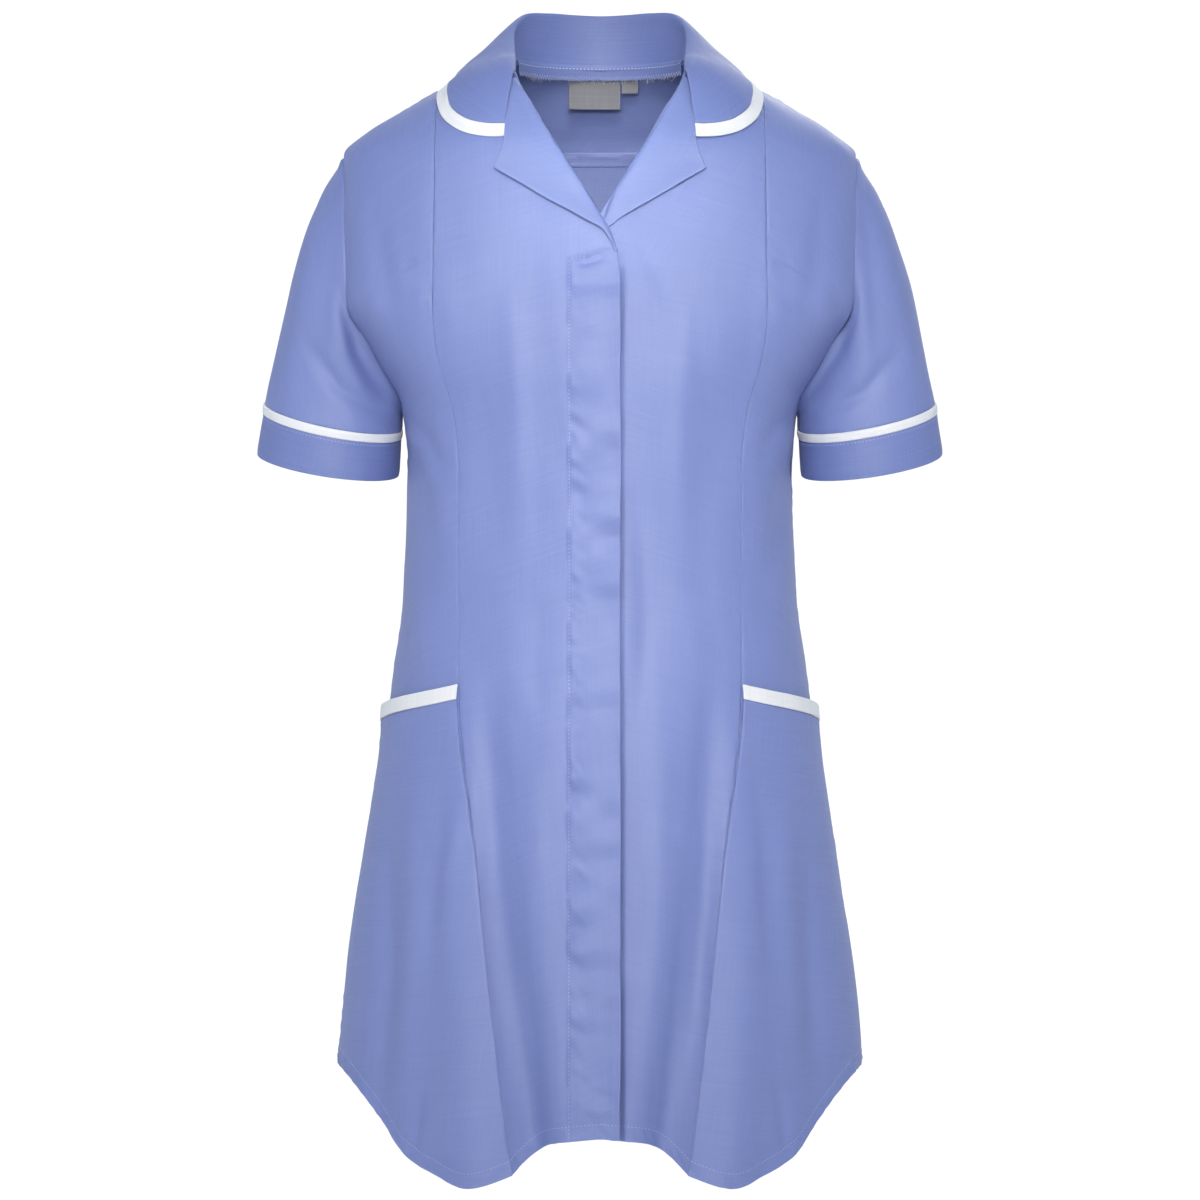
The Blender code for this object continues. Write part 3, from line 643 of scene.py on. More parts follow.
def softness(cloth, seed, height=0.5):
    """The gentle unevenness of cloth that hangs, longer downwards than across."""
    broad = hills(cloth.x / 38, cloth.z / 105, seed)
    small = hills(cloth.x / 17 + cloth.z / 90, cloth.z / 40, seed + 1)
    return 1.5 * height * (broad + 0.4 * small) * ease(cloth.edge, 0, 16)


def hem(cloth, seed):
    """The turned hem: a doubled band, a stitched dip above it and twisted puckers in it."""
    band = ease(cloth.bottom, HEM_BAND + 0.7, HEM_BAND - 0.7)
    twist = hills((cloth.left + 0.9 * cloth.bottom) / 5, cloth.bottom / 7, seed)
    twist = twist * bell(cloth.bottom - HEM_BAND / 2, 6)
    return 0.3 * band + 1.1 * twist - 0.6 * bell(cloth.bottom - HEM_BAND, 0.9), band


print("height of a seam in its middle, mm:", round(float(seam(0.0, 0.0, 1)), 2))

# %% [markdown]
# A finished piece is a closed wall: the lifted grid outside, the same grid inside, a cloth's
# thickness deeper, and a rounded rim. Two maps go with it, a UV map in metres that the weave
# follows, and the marks for rubbed and doubled cloth. Each piece states the size that it
# was cut to, which is what it measures along the cloth.

# %% Sew a piece
RIM_LINES = 2
REACH = 0.15
SINGLE = 0.75
TURNED = 0.4
CUTS = {}


def rim_loops(ids, closed):
    """Lines of points round the edge, clockwise as seen from outside."""
    if closed:
        return [ids[0], ids[-1, ::-1]]
    sides = (ids[0, :-1], ids[:-1, -1], ids[-1, :0:-1], ids[:0:-1, 0], ids[0, :1])
    return [np.concatenate(sides)]


def outward(cloth, points):
    """At each point of the rim, the direction off the cloth within its surface."""
    _, tall, wide = cloth.directions(points)
    away = np.zeros_like(points)
    away[0] -= tall[0]
    away[-1] += tall[-1]
    if not cloth.closed:
        away[:, 0] -= wide[:, 0]
        away[:, -1] += wide[:, -1]
    return away / np.maximum(np.linalg.norm(away, axis=2), 1)[:, :, None]


def add_piece(name, mesh, finish):
    """A finished mesh as a piece of the scene that rides on the root."""
    mesh.materials.append(finish)
    piece = bpy.data.objects.new(name, mesh)
    bpy.context.scene.collection.objects.link(piece)
    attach(piece, "root")
    return piece


def sew(name, cloth, finish, lift, wall, doubled=0.0, round_edge=0.1, rubbed=0.2):
    """Make the closed wall of a piece from heights and thicknesses in millimetres."""
    shape = cloth.x.shape
    lift, wall, doubled = [np.broadcast_to(field, shape) for field in (lift, wall, doubled)]
    shown = cloth.points + cloth.face * lift[:, :, None] * MM
    shown = shown + outward(cloth, shown) * REACH * MM
    face = cloth.directions(shown)[0]
    hidden = shown - face * wall[:, :, None] * MM
    away = outward(cloth, shown) * round_edge * MM
    cloth.shown, cloth.face = shown, face

    count = cloth.x.size
    ids = np.arange(count).reshape(shape)
    spots = np.stack([cloth.left, -cloth.top], axis=2).reshape(-1, 2) * MM
    marks = np.stack([rubbed * bell(cloth.edge, 1.1), doubled], axis=2).reshape(-1, 2)
    outer, inner, away = [field.reshape(-1, 3) for field in (shown, hidden, away)]
    points, places, flags, source = [outer, inner], [spots] * 2, [marks] * 2, [ids.ravel()] * 2
    cells = np.stack([ids[:-1, :-1], ids[1:, :-1], ids[1:, 1:], ids[:-1, 1:]], axis=2).reshape(-1, 4)
    faces = [cells, cells[:, ::-1] + count]
    total = 2 * count
    for loop in rim_loops(ids, cloth.closed):
        lines = [loop]
        for k in range(1, RIM_LINES + 1):
            s = k / (RIM_LINES + 1)
            bulge = away[loop] * math.sin(math.pi * s)
            points.append(outer[loop] * (1 - s) + inner[loop] * s + bulge)
            places.append(spots[loop])
            flags.append(marks[loop])
            source.append(loop)
            lines.append(np.arange(total, total + len(loop)))
            total += len(loop)
        lines.append(loop + count)
        for a, b in zip(lines, lines[1:]):
            faces.append(np.stack([a[:-1], a[1:], b[1:], b[:-1]], axis=1))
    points, places, flags, faces = [np.concatenate(part) for part in (points, places, flags, faces)]

    merge = np.arange(total)
    if cloth.closed:
        for start in (0, count):
            merge[ids[:, -1] + start] = ids[:, 0] + start
    at = 2 * count
    for part in source[2:]:
        merge[at + len(part) - 1] = at
        at += len(part)
    kept, compact = np.unique(merge, return_inverse=True)
    mesh = bpy.data.meshes.new(name)
    mesh.from_pydata(points[kept].tolist(), [], compact[faces].tolist())
    mesh.uv_layers.new(name="cloth").data.foreach_set("uv", places[faces].astype(np.float32).ravel())
    for column, mark in enumerate(("worn", "doubled")):
        layer = mesh.attributes.new(mark, "FLOAT", "POINT")
        layer.data.foreach_set("value", flags[kept, column].astype(np.float32))
    mesh.shade_smooth()
    piece = add_piece(name, mesh, finish)
    if cloth.node:
        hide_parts(cloth.node)
    print(name, "faces:", len(mesh.polygons))
    return piece


def state_cut(piece, cloth):
    """Record what a piece measures along its surface as its cut, and print it."""
    edges = np.diff(cloth.shown, axis=0)[:, :-1], np.diff(cloth.shown, axis=1)[:-1]
    area = float(np.linalg.norm(np.cross(*edges), axis=2).sum())
    width, length = [float(np.max(field)) * MM for field in (cloth.left[:, -1], cloth.top[-1])]
    width = max(width, 1.001 * area / length)
    CUTS[piece.name] = (round(width / MM), round(length / MM), round(area, 4))
    print(piece.name, "cut in mm and m2:", CUTS[piece.name])


def panel(name, cloth, lift, band=0.0, doubled=0.0):
    """Sew a piece of single poplin, thicker where its hem is turned, and state its cut."""
    wall = SINGLE + TURNED * band
    piece = sew(name, cloth, poplin, lift, wall, doubled=doubled)
    state_cut(piece, cloth)
    return piece


# %% [markdown]
# The centre fronts come first. On the real tunic the right one laps over the left and hides
# its fasteners under a fly, so all that shows is a strip 38 mm wide, stitched down its inner
# side, with a rolled edge that wanders a little. The strip has several layers and looks paler.
# The creases are listed, each as a depth, a width and a line of (x, z) points.

# %% Centre fronts
FLY_LINE = -23.0
FLY_TOP = -158.0
BELOW_CROSSING = (-150, -175)
FRONT_CREASES = {
    "front_right": (
        (-1.5, 10, [(-82, -480), (-79, -600), (-73, -690), (-66, -790)]),
        (0.7, 12, [(-44, -470), (-46, -600), (-50, -730)]),
        (-0.8, 13, [(-94, -230), (-82, -330), (-74, -440)]),
        (0.8, 10, [(-68, -170), (-62, -260), (-60, -350)]),
        (-0.9, 2.8, [(-20, -165), (-4, -158), (13, -153)]),
        (0.6, 3.0, [(-16, -171), (0, -165), (12, -161)]),
        (-0.8, 3.4, [(-21, -780), (-4, -778), (14, -782)]),
        (0.6, 3.0, [(-16, -788), (0, -792), (13, -789)]),
        (-0.5, 6, [(-90, -600), (-84, -690), (-80, -760)]),
    ),
    "front_left": (
        (-1.4, 10, [(84, -470), (80, -600), (74, -690), (67, -780)]),
        (0.7, 12, [(38, -460), (42, -590), (46, -720)]),
        (-0.8, 13, [(92, -250), (78, -340), (74, -430)]),
        (0.7, 9, [(66, -180), (60, -280), (62, -360)]),
        (-0.6, 7, [(28, -330), (34, -420), (30, -520)]),
        (-0.5, 8, [(30, -150), (46, -176), (58, -214)]),
    ),
}


def centre_front(name, cloth, seam_away, seed):
    """Heights of a centre front: its hem, its two seams and its creases."""
    turned, band = hem(cloth, seed)
    lift = turned + seam(seam_away, cloth.top, seed + 1) + softness(cloth, seed + 2, 0.8)
    lift = lift + seam(cloth.top, cloth.left, seed + 3)
    return creased(cloth, lift, FRONT_CREASES[name]), band


cloth = front_right
below = ease(cloth.z, *BELOW_CROSSING)
wander = 0.8 * hills(cloth.z / 62, 0.5, 21) + 0.35 * hills(cloth.z / 19, 0.5, 22)
cloth.slide(across=wander * below * bell(cloth.right, 14))
lift, band = centre_front("front_right", cloth, cloth.left, seed=30)
strip = ease(cloth.x, FLY_LINE - 0.9, FLY_LINE + 0.7) * ease(cloth.z, FLY_TOP + 1, FLY_TOP - 3)
past_line = cloth.x - FLY_LINE
fly_puckers = hills((cloth.z + 0.6 * past_line) / 7, past_line / 12, 24) * bell(past_line - 3, 9)
across_strip = hills(cloth.z / 16, past_line / 34, 25) * ease(cloth.bottom, 6, 40)
lift = lift + strip * (0.3 + 1.5 * fly_puckers + 3.0 * across_strip)
lift = lift - 0.4 * bell(past_line, 0.9) * ease(cloth.z, FLY_TOP + 2, FLY_TOP)
lift = lift + below * (1.5 * bell(cloth.right, 7) - 0.35 * bell(cloth.right - 3.2, 1.2))
lift = lift + 1.5 * bell(np.hypot(cloth.x - 5, 0.8 * (cloth.z + 132)), 15)
wall = SINGLE + 0.85 * strip + TURNED * band
doubled = np.maximum(strip, 0.6 * band)
piece = sew("front_right_cloth", cloth, poplin, lift, wall, doubled)
state_cut(piece, cloth)

front_left = cloth_of("front_left", PANEL_WALL, FRONT_STEPS)
cloth = front_left
lift, band = centre_front("front_left", cloth, cloth.right, seed=40)
lift = lift - 2.4 * ease(cloth.x, 18.6, 15) * ease(cloth.z, *BELOW_CROSSING)
panel("front_left_cloth", cloth, lift, band, doubled=0.6 * band)

# %% [markdown]
# The side fronts carry the shape: they join the centre along the princess seam, and a
# short dart runs from that seam to the armhole. The dart is a seam inside the piece, so it
# is drawn as a crease with puckers of its own. The pocket hides their lower half.

# %% Side fronts
SIDE_STEPS = (2.5, 3.0)
NEAR_SHOULDER = (-150, -80)
POCKET_MOUTH = (-496, -520)
POCKET_CREASES = {
    "pocket_front_right": (
        (-1.7, 8, [(-160, -590), (-158, -690), (-166, -800)]),
        (-1.1, 5, [(-132, -775), (-136, -800), (-140, -830)]),
        (1.0, 9, [(-141, -545), (-138, -660), (-147, -770)]),
        (-0.9, 8, [(-118, -535), (-122, -620), (-127, -700)]),
        (0.6, 5, [(-104, -560), (-110, -600), (-122, -640)]),
    ),
    "pocket_front_left": (
        (-1.5, 8, [(156, -600), (158, -700), (163, -790)]),
        (-1.0, 5, [(130, -765), (136, -795), (139, -828)]),
        (1.0, 9, [(139, -550), (141, -650), (146, -750)]),
        (-1.0, 8, [(117, -530), (124, -610), (126, -690)]),
        (-0.6, 5, [(168, -560), (150, -580), (128, -590)]),
    ),
}
DART = ((-126, -158), (-138, -161), (-150, -166), (-161, -172))
SIDE_CREASES = {
    "side_front_right": (
        (-1.2, 7, [(-158, -285), (-141, -312), (-127, -372)]),
        (-0.8, 6, [(-152, -276), (-134, -286), (-117, -318)]),
        (0.9, 8, [(-143, -380), (-136, -430), (-128, -480)]),
        (-1.1, 9, [(-172, -110), (-163, -165), (-152, -225)]),
        (0.6, 5, [(-126, -186), (-133, -189), (-139, -194)]),
    ),
    "side_front_left": (
        (-1.1, 7, [(160, -290), (143, -320), (130, -390)]),
        (-0.9, 6, [(153, -272), (136, -282), (119, -306)]),
        (0.9, 9, [(140, -370), (134, -420), (130, -470)]),
        (-1.0, 9, [(170, -104), (164, -160), (154, -215)]),
        (0.5, 5, [(127, -192), (134, -196), (141, -203)]),
    ),
}


def inner_and_outer(cloth, side):
    """Distances from the edge nearer the middle and from the other one, by the side's sign."""
    return (cloth.right, cloth.left) if side < 0 else (cloth.left, cloth.right)


def side_front(name, side, seed):
    """A side front, its dart, seams and hem."""
    cloth = cloth_of(name, PANEL_WALL, SIDE_STEPS)
    inner, outer = inner_and_outer(cloth, side)
    turned, band = hem(cloth, seed)
    lift = turned + seam(inner, cloth.top, seed + 1)
    lift = lift + seam(outer, cloth.top, seed + 2, depth=0.5, dip=0.1)
    lift = lift + seam(cloth.top, cloth.left, seed + 3) + softness(cloth, seed + 4, 0.5)
    lift = lift - 1.3 * bell(outer, 5) * ease(cloth.z, *NEAR_SHOULDER)
    lift = creased(cloth, lift, SIDE_CREASES[name] + POCKET_CREASES["pocket" + name[4:]])
    lift = lift - 1.2 * ease(cloth.z, *POCKET_MOUTH) * ease(cloth.edge, 0, 10)
    dart = [(-side * x, z) for x, z in DART]
    lift = lift + crease(cloth, -0.6, 1.3, dart)
    near_dart = crease(cloth, 1.0, 7, dart)
    lift = lift + 0.3 * near_dart * hills(cloth.x / 5, cloth.z / 12, seed + 5)
    panel(name + "_cloth", cloth, lift, band)
    return cloth


side_right = side_front("side_front_right", -1, seed=50)
side_left = side_front("side_front_left", 1, seed=60)

# %% [markdown]
# The pocket fronts are second layers laid on the side fronts. Their mouths are bound in
# white, and gape a little at the side. A binding is a strip folded over the raw edge, so it
# is the thickest thing there, round in section, with a dip along the line that holds it.

# %% Pockets
POCKET_STEPS = (2.2, 2.7)
TRIM_STEPS = (1.9, 1.2)
BINDING_WALL = 2.0
STITCH_IN = 1.6


def binding(name, cloth, seed, stitched):
    """A folded strip of white drill, rounded across, with a dip at its stitching."""
    share = cloth.top / cloth.top[-1:]
    crown = 0.5 * np.sin(math.pi * np.clip(share, 0, 1)) ** 0.7
    ripple = 0.16 * hills(cloth.left / 6, cloth.top / 8, seed)
    lift = crown + ripple - 0.3 * bell(stitched - STITCH_IN, 0.7)
    return sew(name, cloth, drill, lift, wall=1.5, round_edge=0.5)


def pocket(side_name, side, seed):
    """A pocket front with its bound mouth."""
    name = "pocket_front_" + side_name
    cloth = cloth_of(name, PANEL_WALL, POCKET_STEPS)
    inner, outer = inner_and_outer(cloth, side)
    turned, band = hem(cloth, seed)
    lift = turned + seam(inner, cloth.top, seed + 1, depth=0.34) + seam(outer, cloth.top, seed + 2)
    lift = lift + seam(cloth.top, cloth.left, seed + 3, depth=0.4) + softness(cloth, seed + 4, 0.6)
    lift = creased(cloth, lift, POCKET_CREASES[name])
    trim = cloth_of("pocket_binding_" + side_name, BINDING_WALL, TRIM_STEPS)
    trim_piece = binding("pocket_binding_%s_drill" % side_name, trim, seed + 5, trim.bottom)
    panel(name + "_cloth", cloth, lift, band, doubled=0.6 * band)
    return cloth, trim


pocket_right, mouth_right = pocket("right", -1, seed=70)
pocket_left, mouth_left = pocket("left", 1, seed=80)

# %% [markdown]
# The back has a yoke over the shoulder blades and one wide panel below it. Nobody sees it in
# the picture, so it gets creases like those of the front, as uneven as real ones, and a
# few drawn ones at the waist where such a loose back settles.

# %% Yoke and back
BACK_CREASES = {
    "back_yoke": (
        (-0.7, 9, [(-150, -70), (-110, -76), (-60, -66)]),
        (0.6, 8, [(140, -64), (100, -68), (60, -58)]),
        (-0.5, 7, [(-30, -14), (-24, -34), (-28, -56)]),
    ),
    "back": (
        (-1.6, 14, [(-150, -150), (-112, -220), (-84, -330)]),
        (1.3, 12, [(-120, -130), (-92, -200), (-66, -300)]),
        (-1.5, 13, [(152, -160), (110, -240), (88, -350)]),
        (1.2, 12, [(118, -140), (86, -230), (60, -340)]),
        (-1.2, 12, [(-22, -280), (-28, -420), (-36, -570)]),
        (1.1, 11, [(20, -330), (30, -470), (34, -640)]),
        (-1.4, 9, [(-146, -290), (-114, -330), (-88, -390)]),
        (-1.2, 9, [(148, -300), (116, -345), (92, -430)]),
        (-0.9, 7, [(-64, -388), (-14, -398), (46, -386)]),
        (0.8, 7, [(-40, -412), (10, -418), (58, -408)]),
        (-1.3, 13, [(-58, -520), (-70, -650), (-80, -810)]),
        (1.3, 12, [(68, -540), (84, -660), (94, -815)]),
        (-0.9, 9, [(2, -620), (8, -730), (4, -820)]),
        (-1.0, 8, [(128, -560), (136, -660), (134, -760)]),
    ),
}


def back_piece(name, steps, seed, hemmed):
    """A piece of the back with its four seams, or three seams and a hem."""
    cloth = cloth_of(name, PANEL_WALL, steps)
    lift = seam(cloth.left, cloth.top, seed, dip=0.1)
    lift = lift + seam(cloth.right, cloth.top, seed + 1, dip=0.1)
    lift = lift + seam(cloth.top, cloth.left, seed + 2) + softness(cloth, seed + 3, 0.7)
    lift = lift - 1.3 * bell(np.minimum(cloth.left, cloth.right), 5) * ease(cloth.z, *NEAR_SHOULDER)
    band = np.zeros(cloth.x.shape)
    if hemmed:
        turned, band = hem(cloth, seed + 4)
        lift = lift + turned
    else:
        lift = lift + seam(cloth.bottom, cloth.left, seed + 4)
    lift = creased(cloth, lift, BACK_CREASES[name])
    return cloth, panel(name + "_cloth", cloth, lift, band, doubled=0.6 * band)


yoke, yoke_piece = back_piece("back_yoke", steps=(2.7, 2.7), seed=90, hemmed=False)
back, back_panel = back_piece("back", steps=(3.6, 4.2), seed=100, hemmed=True)

# %% [markdown]
# The sleeves are set in, so their heads stand a little proud of the armhole and then drop.
# Their folds run out from under the arm. White piping parts the sleeve from the cuff, which
# is a doubled band and so a little stiffer and smoother. Each crease is on the front, 1, or on
# the back, -1, and has a depth, a width and a line.

# %% Sleeves, piping and cuffs
SLEEVE_STEPS = (2.5, 2.9)
CUFF_STEPS = (2.0, 1.9)
CUFF_WALL = 1.6
SLEEVE_CREASES = {
    "right": (
        (1, -2.0, 7, [(-158, -264), (-182, -228), (-200, -168)]),
        (1, -1.4, 6, [(-164, -272), (-198, -254), (-228, -214)]),
        (1, 1.3, 9, [(-216, -112), (-228, -172), (-238, -246)]),
        (1, -1.0, 8, [(-204, -104), (-207, -160), (-214, -236)]),
        (1, 1.0, 7, [(-178, -262), (-192, -226), (-196, -186)]),
        (-1, -1.8, 8, [(-160, -262), (-190, -216), (-206, -160)]),
        (-1, 1.2, 9, [(-222, -120), (-232, -190), (-240, -250)]),
    ),
    "left": (
        (1, -1.9, 7, [(157, -262), (180, -224), (196, -160)]),
        (1, -1.3, 6, [(165, -272), (202, -256), (232, -220)]),
        (1, 1.2, 9, [(214, -108), (226, -180), (240, -248)]),
        (1, -1.1, 8, [(202, -110), (208, -168), (212, -240)]),
        (-1, -1.7, 8, [(161, -262), (186, -210), (204, -150)]),
        (-1, 1.2, 9, [(224, -126), (234, -184), (242, -246)]),
    ),
}


def onto_armhole(cloth, front, column):
    """Draw the upper edge of a sleeve onto the edges of the body round it."""
    others = [piece.shown[:, -1 - column] for piece in (yoke, back)]
    edge = np.concatenate([front.shown[:, column]] + others)
    head = cloth.points[0]
    away = np.linalg.norm(head[:, None] - edge[None], axis=2)
    pull = edge[away.argmin(axis=1)] - head
    ring = pull[:-1]
    for _ in range(4):
        ring = (np.roll(ring, 1, axis=0) + 2 * ring + np.roll(ring, -1, axis=0)) / 4
    pull = np.concatenate([ring, ring[:1]])
    cloth.points = cloth.points + pull[None] * (1 - ease(cloth.top, 0, 30))[:, :, None]
    cloth.measure()
    farthest = np.linalg.norm(pull, axis=1).max() / MM
    print("sleeve head drawn in by up to, mm:", round(float(farthest), 1))


def sleeve(side_name, front, column, seed):
    """A sleeve, which gives back its piping and its cuff."""
    cloth = cloth_of("sleeve_" + side_name, PANEL_WALL, SLEEVE_STEPS, closed=True)
    onto_armhole(cloth, front, column)
    cloth.slide(across=-1.8 * np.sign(cloth.x) * bell(cloth.top, 4))
    lift = seam(cloth.top, cloth.left, seed, depth=0.5, dip=0.5) + 0.8 * bell(cloth.top - 3.4, 2.4)
    lift = lift + seam(cloth.bottom, cloth.left, seed + 1, depth=0.3)
    lift = lift + 2.0 * bell(cloth.top - 3, 5) * ease(cloth.z, -125, -90)
    lift = lift + 1.0 * hills(cloth.x / 17, cloth.z / 90, seed + 2) * ease(cloth.edge, 0, 18)
    for half, depth, width, path in SLEEVE_CREASES[side_name]:
        lift = lift + crease(cloth, depth, width, path) * ease(-half * cloth.y, -8, 12)
    panel("sleeve_%s_cloth" % side_name, cloth, lift)

    pipe = cloth_of("cuff_piping_" + side_name, BINDING_WALL, TRIM_STEPS, closed=True)
    pipe_piece = binding("cuff_piping_%s_drill" % side_name, pipe, seed + 3, pipe.bottom)
    cuff = cloth_of("sleeve_cuff_" + side_name, CUFF_WALL, CUFF_STEPS, closed=True)
    lift = seam(cuff.top, cuff.left, seed + 4, depth=0.25)
    lift = lift + 0.35 * hills(cuff.left / 26, cuff.top / 30, seed + 5) * ease(cuff.top, 0, 12)
    lift = lift - 0.45 * bell(cuff.bottom, 2.2)
    # The cuff's poplin is painted darker, as painted shade.
    piece = sew("sleeve_cuff_%s_cloth" % side_name, cuff, doubled_painted_shade, lift,
                wall=1.4, round_edge=0.6, rubbed=0.5)
    state_cut(piece, cuff)
    return pipe, cuff


pipe_right, cuff_right = sleeve("right", side_right, column=0, seed=110)
pipe_left, cuff_left = sleeve("left", side_left, column=-1, seed=120)

# %% [markdown]
# The collar is one band: a stand that rises from the neck seam, a fold, and a leaf that
# falls over the shoulders. The grid already runs from the neck over the fold to the leaf's
# edge, so only its softness is added, and the pull of the binding along the edge.

# %% Collar
COLLAR_STEPS = (2.0, 1.6)


def bound_collar():
    """The collar, which gives back the binding of its leaf and its piece."""
    cloth = cloth_of("collar", PANEL_WALL, COLLAR_STEPS)
    lift = 0.45 * hills(cloth.left / 34, cloth.top / 26, 130) * ease(cloth.edge, 0, 12)
    lift = lift + seam(cloth.bottom, cloth.left, 131, depth=0.22)
    lift = lift + 0.12 * hills(cloth.left / 7, cloth.top / 14, 132) * bell(cloth.top, 9)
    trim = cloth_of("collar_binding", BINDING_WALL, TRIM_STEPS)
    trim_piece = binding("collar_binding_drill", trim, 133, trim.top)
    # The collar's poplin is painted darker, as painted shade.
    piece = sew("collar_cloth", cloth, doubled_painted_shade, lift, wall=0.9, doubled=0.3, rubbed=0.4)
    state_cut(piece, cloth)
    return trim, piece


collar_trim, collar_piece = bound_collar()

# %% [markdown]
# The revers are the fronts' own upper corners, turned back at the neckline. Each is drawn
# between two lines that are read from the frame: the roll, and the outer edge with its
# corner. The rows between them are laid on the finished front by dropping every point onto it
# along Y, and raised a cloth's thickness, less at the roll, where the cloth turns over. The
# right one runs out into the front edge, the left one goes on under it where they cross.

# %% Revers
REVER_WALL = 1.4
REVER_STEP = 1.4
ROWS_ABOVE_CORNER = 54
ROWS_BELOW_CORNER = 62
# The last two points of the roll and the last two of the outer edge.
REVER_ENDS = {
    "lapel_right": (
        ((9.5, -150, -143), (13.4, -150, -155)),
        ((6.5, -150, -143.5), (12.2, -150, -156)),
    ),
    "lapel_left": (
        ((2.5, -150, -129), (-2, -150, -138)),
        ((7.5, -150, -134.5), (-1, -150, -139.5)),
    ),
}
# The heights between which the foot of a rever sinks, and by what share.
REVER_SINKS = {"lapel_right": (-143, -154, 0.7), "lapel_left": (-118, -131, 0.5)}


def tree_of(*pieces):
    """A search tree over the faces of finished pieces."""
    points, faces = [], []
    for piece in pieces:
        start = len(points)
        points += [vert.co[:] for vert in piece.data.vertices]
        faces += [[start + v for v in face.vertices] for face in piece.data.polygons]
    return BVHTree.FromPolygons(points, faces)


def part_of_line(line, start, end, count):
    """Evenly spaced points on the smooth curve through a part of a line."""
    part = line[start:end + 1][:, None]
    knots = knots_of(part)
    return smooth_rows(part, knots, np.linspace(0, knots[-1], count))[:, 0]


def rever_grid(node):
    """Rows of points from the roll to the outer edge, down the rever."""
    points, triangles = outer_sheet(node, REVER_WALL)
    line = points[next(boundary_lines(triangles))]
    line = np.roll(line, -int(np.argmax(line[:, 2])), axis=0)
    low = int(np.argmin(line[:, 2]))
    halves = line[:low + 1], np.concatenate([line[:1], line[:low - 1:-1]])
    roll, outer = sorted(halves, key=lambda half: abs(half[:, 0]).mean())
    last = np.array(REVER_ENDS[node]) * MM
    roll = np.concatenate([roll[roll[:, 2] > last[0, 0, 2] + 5 * MM], last[0]])
    outer = np.concatenate([outer[outer[:, 2] > last[1, 0, 2] + 3.5 * MM], last[1]])
    corner = int(np.argmax(abs(outer[:, 0])))
    foot = int(np.argmin(np.linalg.norm(roll - outer[corner], axis=1)))
    parts = []
    for path, middle in ((roll, foot), (outer, corner)):
        first = part_of_line(path, 0, middle, ROWS_ABOVE_CORNER)
        second = part_of_line(path, middle, len(path) - 1, ROWS_BELOW_CORNER)
        parts.append(np.concatenate([first[1:], second[1:-1]]))
    width = np.linalg.norm(parts[1] - parts[0], axis=1).max()
    share = (spots_for(width, REVER_STEP) / width)[None, :, None]
    return parts[0][:, None] * (1 - share) + parts[1][:, None] * share


def rever(name, side, front_piece, seed):
    """A turned-back front, laid on its panel."""
    grid = rever_grid(name)
    tree = tree_of(front_piece)
    for row in grid:
        for spot in row:
            hit = tree.ray_cast(Vector((spot[0], -1, spot[2])), Vector((0, 1, 0)))[0]
            spot[1] = hit.y if hit else tree.find_nearest(Vector(spot))[0].y
    cloth = Cloth(name, grid if side > 0 else grid[:, ::-1])
    roll, outer = inner_and_outer(cloth, side)
    over = 3.1 * np.sqrt(1 - (1 - np.clip(roll / 3.5, 0, 1)) ** 2)
    lift = over + 0.35 * bell(roll - 5, 3) + 0.5 * hills(cloth.x / 21, cloth.z / 27, seed)
    lift = lift + 0.9 * bell(outer, 10) * ease(roll, 0, 12)
    lift = lift + 0.12 * hills((cloth.top + outer) / 6, outer / 8, seed + 1) * bell(outer, 6)
    start, end, sunk = REVER_SINKS[name]
    lift = lift * (1 - sunk * ease(cloth.z, start, end))
    # The rever's poplin is painted a little darker, as painted shade.
    piece = sew(name + "_cloth", cloth, facing_painted_shade, lift,
                wall=0.95, round_edge=0.45, rubbed=0.9)
    state_cut(piece, cloth)


rever("lapel_right", -1, bpy.data.objects["front_right_cloth"], seed=140)
rever("lapel_left", 1, bpy.data.objects["front_left_cloth"], seed=150)

# %% [markdown]
# Inside the back neck hang a woven label and a size tab. They stay bare. Each is a small
# strip of ribbed tape, sewn in at its top and bowed a little where it hangs free.

# %% Labels
LABEL_WALL = 1.0
LABEL_STEP = 0.9


def label(node, bow, seed):
    """A bare label that hangs from its upper edge."""
    points, _ = outer_sheet(node, LABEL_WALL)
    spread = [round(x / MM, 2) for x in points[:, 0]]
    top = np.array([points[spread.index(x)] for x in sorted(set(spread))])
    low, high = points[:, 2].min(), points[:, 2].max()
    top[:, 2] = high
    knots = knots_of(top[:, None])
    line = smooth_rows(top[:, None], knots, spots_for(knots[-1], LABEL_STEP))[:, 0]
    fall = spots_for(high - low, LABEL_STEP)
    grid = np.repeat(line[None], len(fall), axis=0)
    grid[:, :, 2] -= fall[:, None]
    cloth = Cloth(node, grid)
    lift = bow * (cloth.top / cloth.top.max()) ** 2 + 0.25 * hills(cloth.x / 9, cloth.z / 14, seed)
    return cloth, sew(node + "_tape", cloth, tape, lift, wall=0.6, round_edge=0.2)


_, tab_piece = label("size_tab", bow=0.8, seed=160)
neck_label, label_piece = label("neck_label", bow=1.6, seed=161)
state_cut(label_piece, neck_label)

# %% [markdown]
# The inside of the back neck shows between the revers: the neck seam is covered by a strip
# that is stitched down, and its lower edge is overlocked with a zigzag of pale thread. The
# yoke seam has a strip of the same kind lower down. Both are laid on the inside of what is
# finished, again by dropping points onto it along Y.

# %% Strips inside the back neck
STRIP_STEP = 1.4
HANG = 0.3


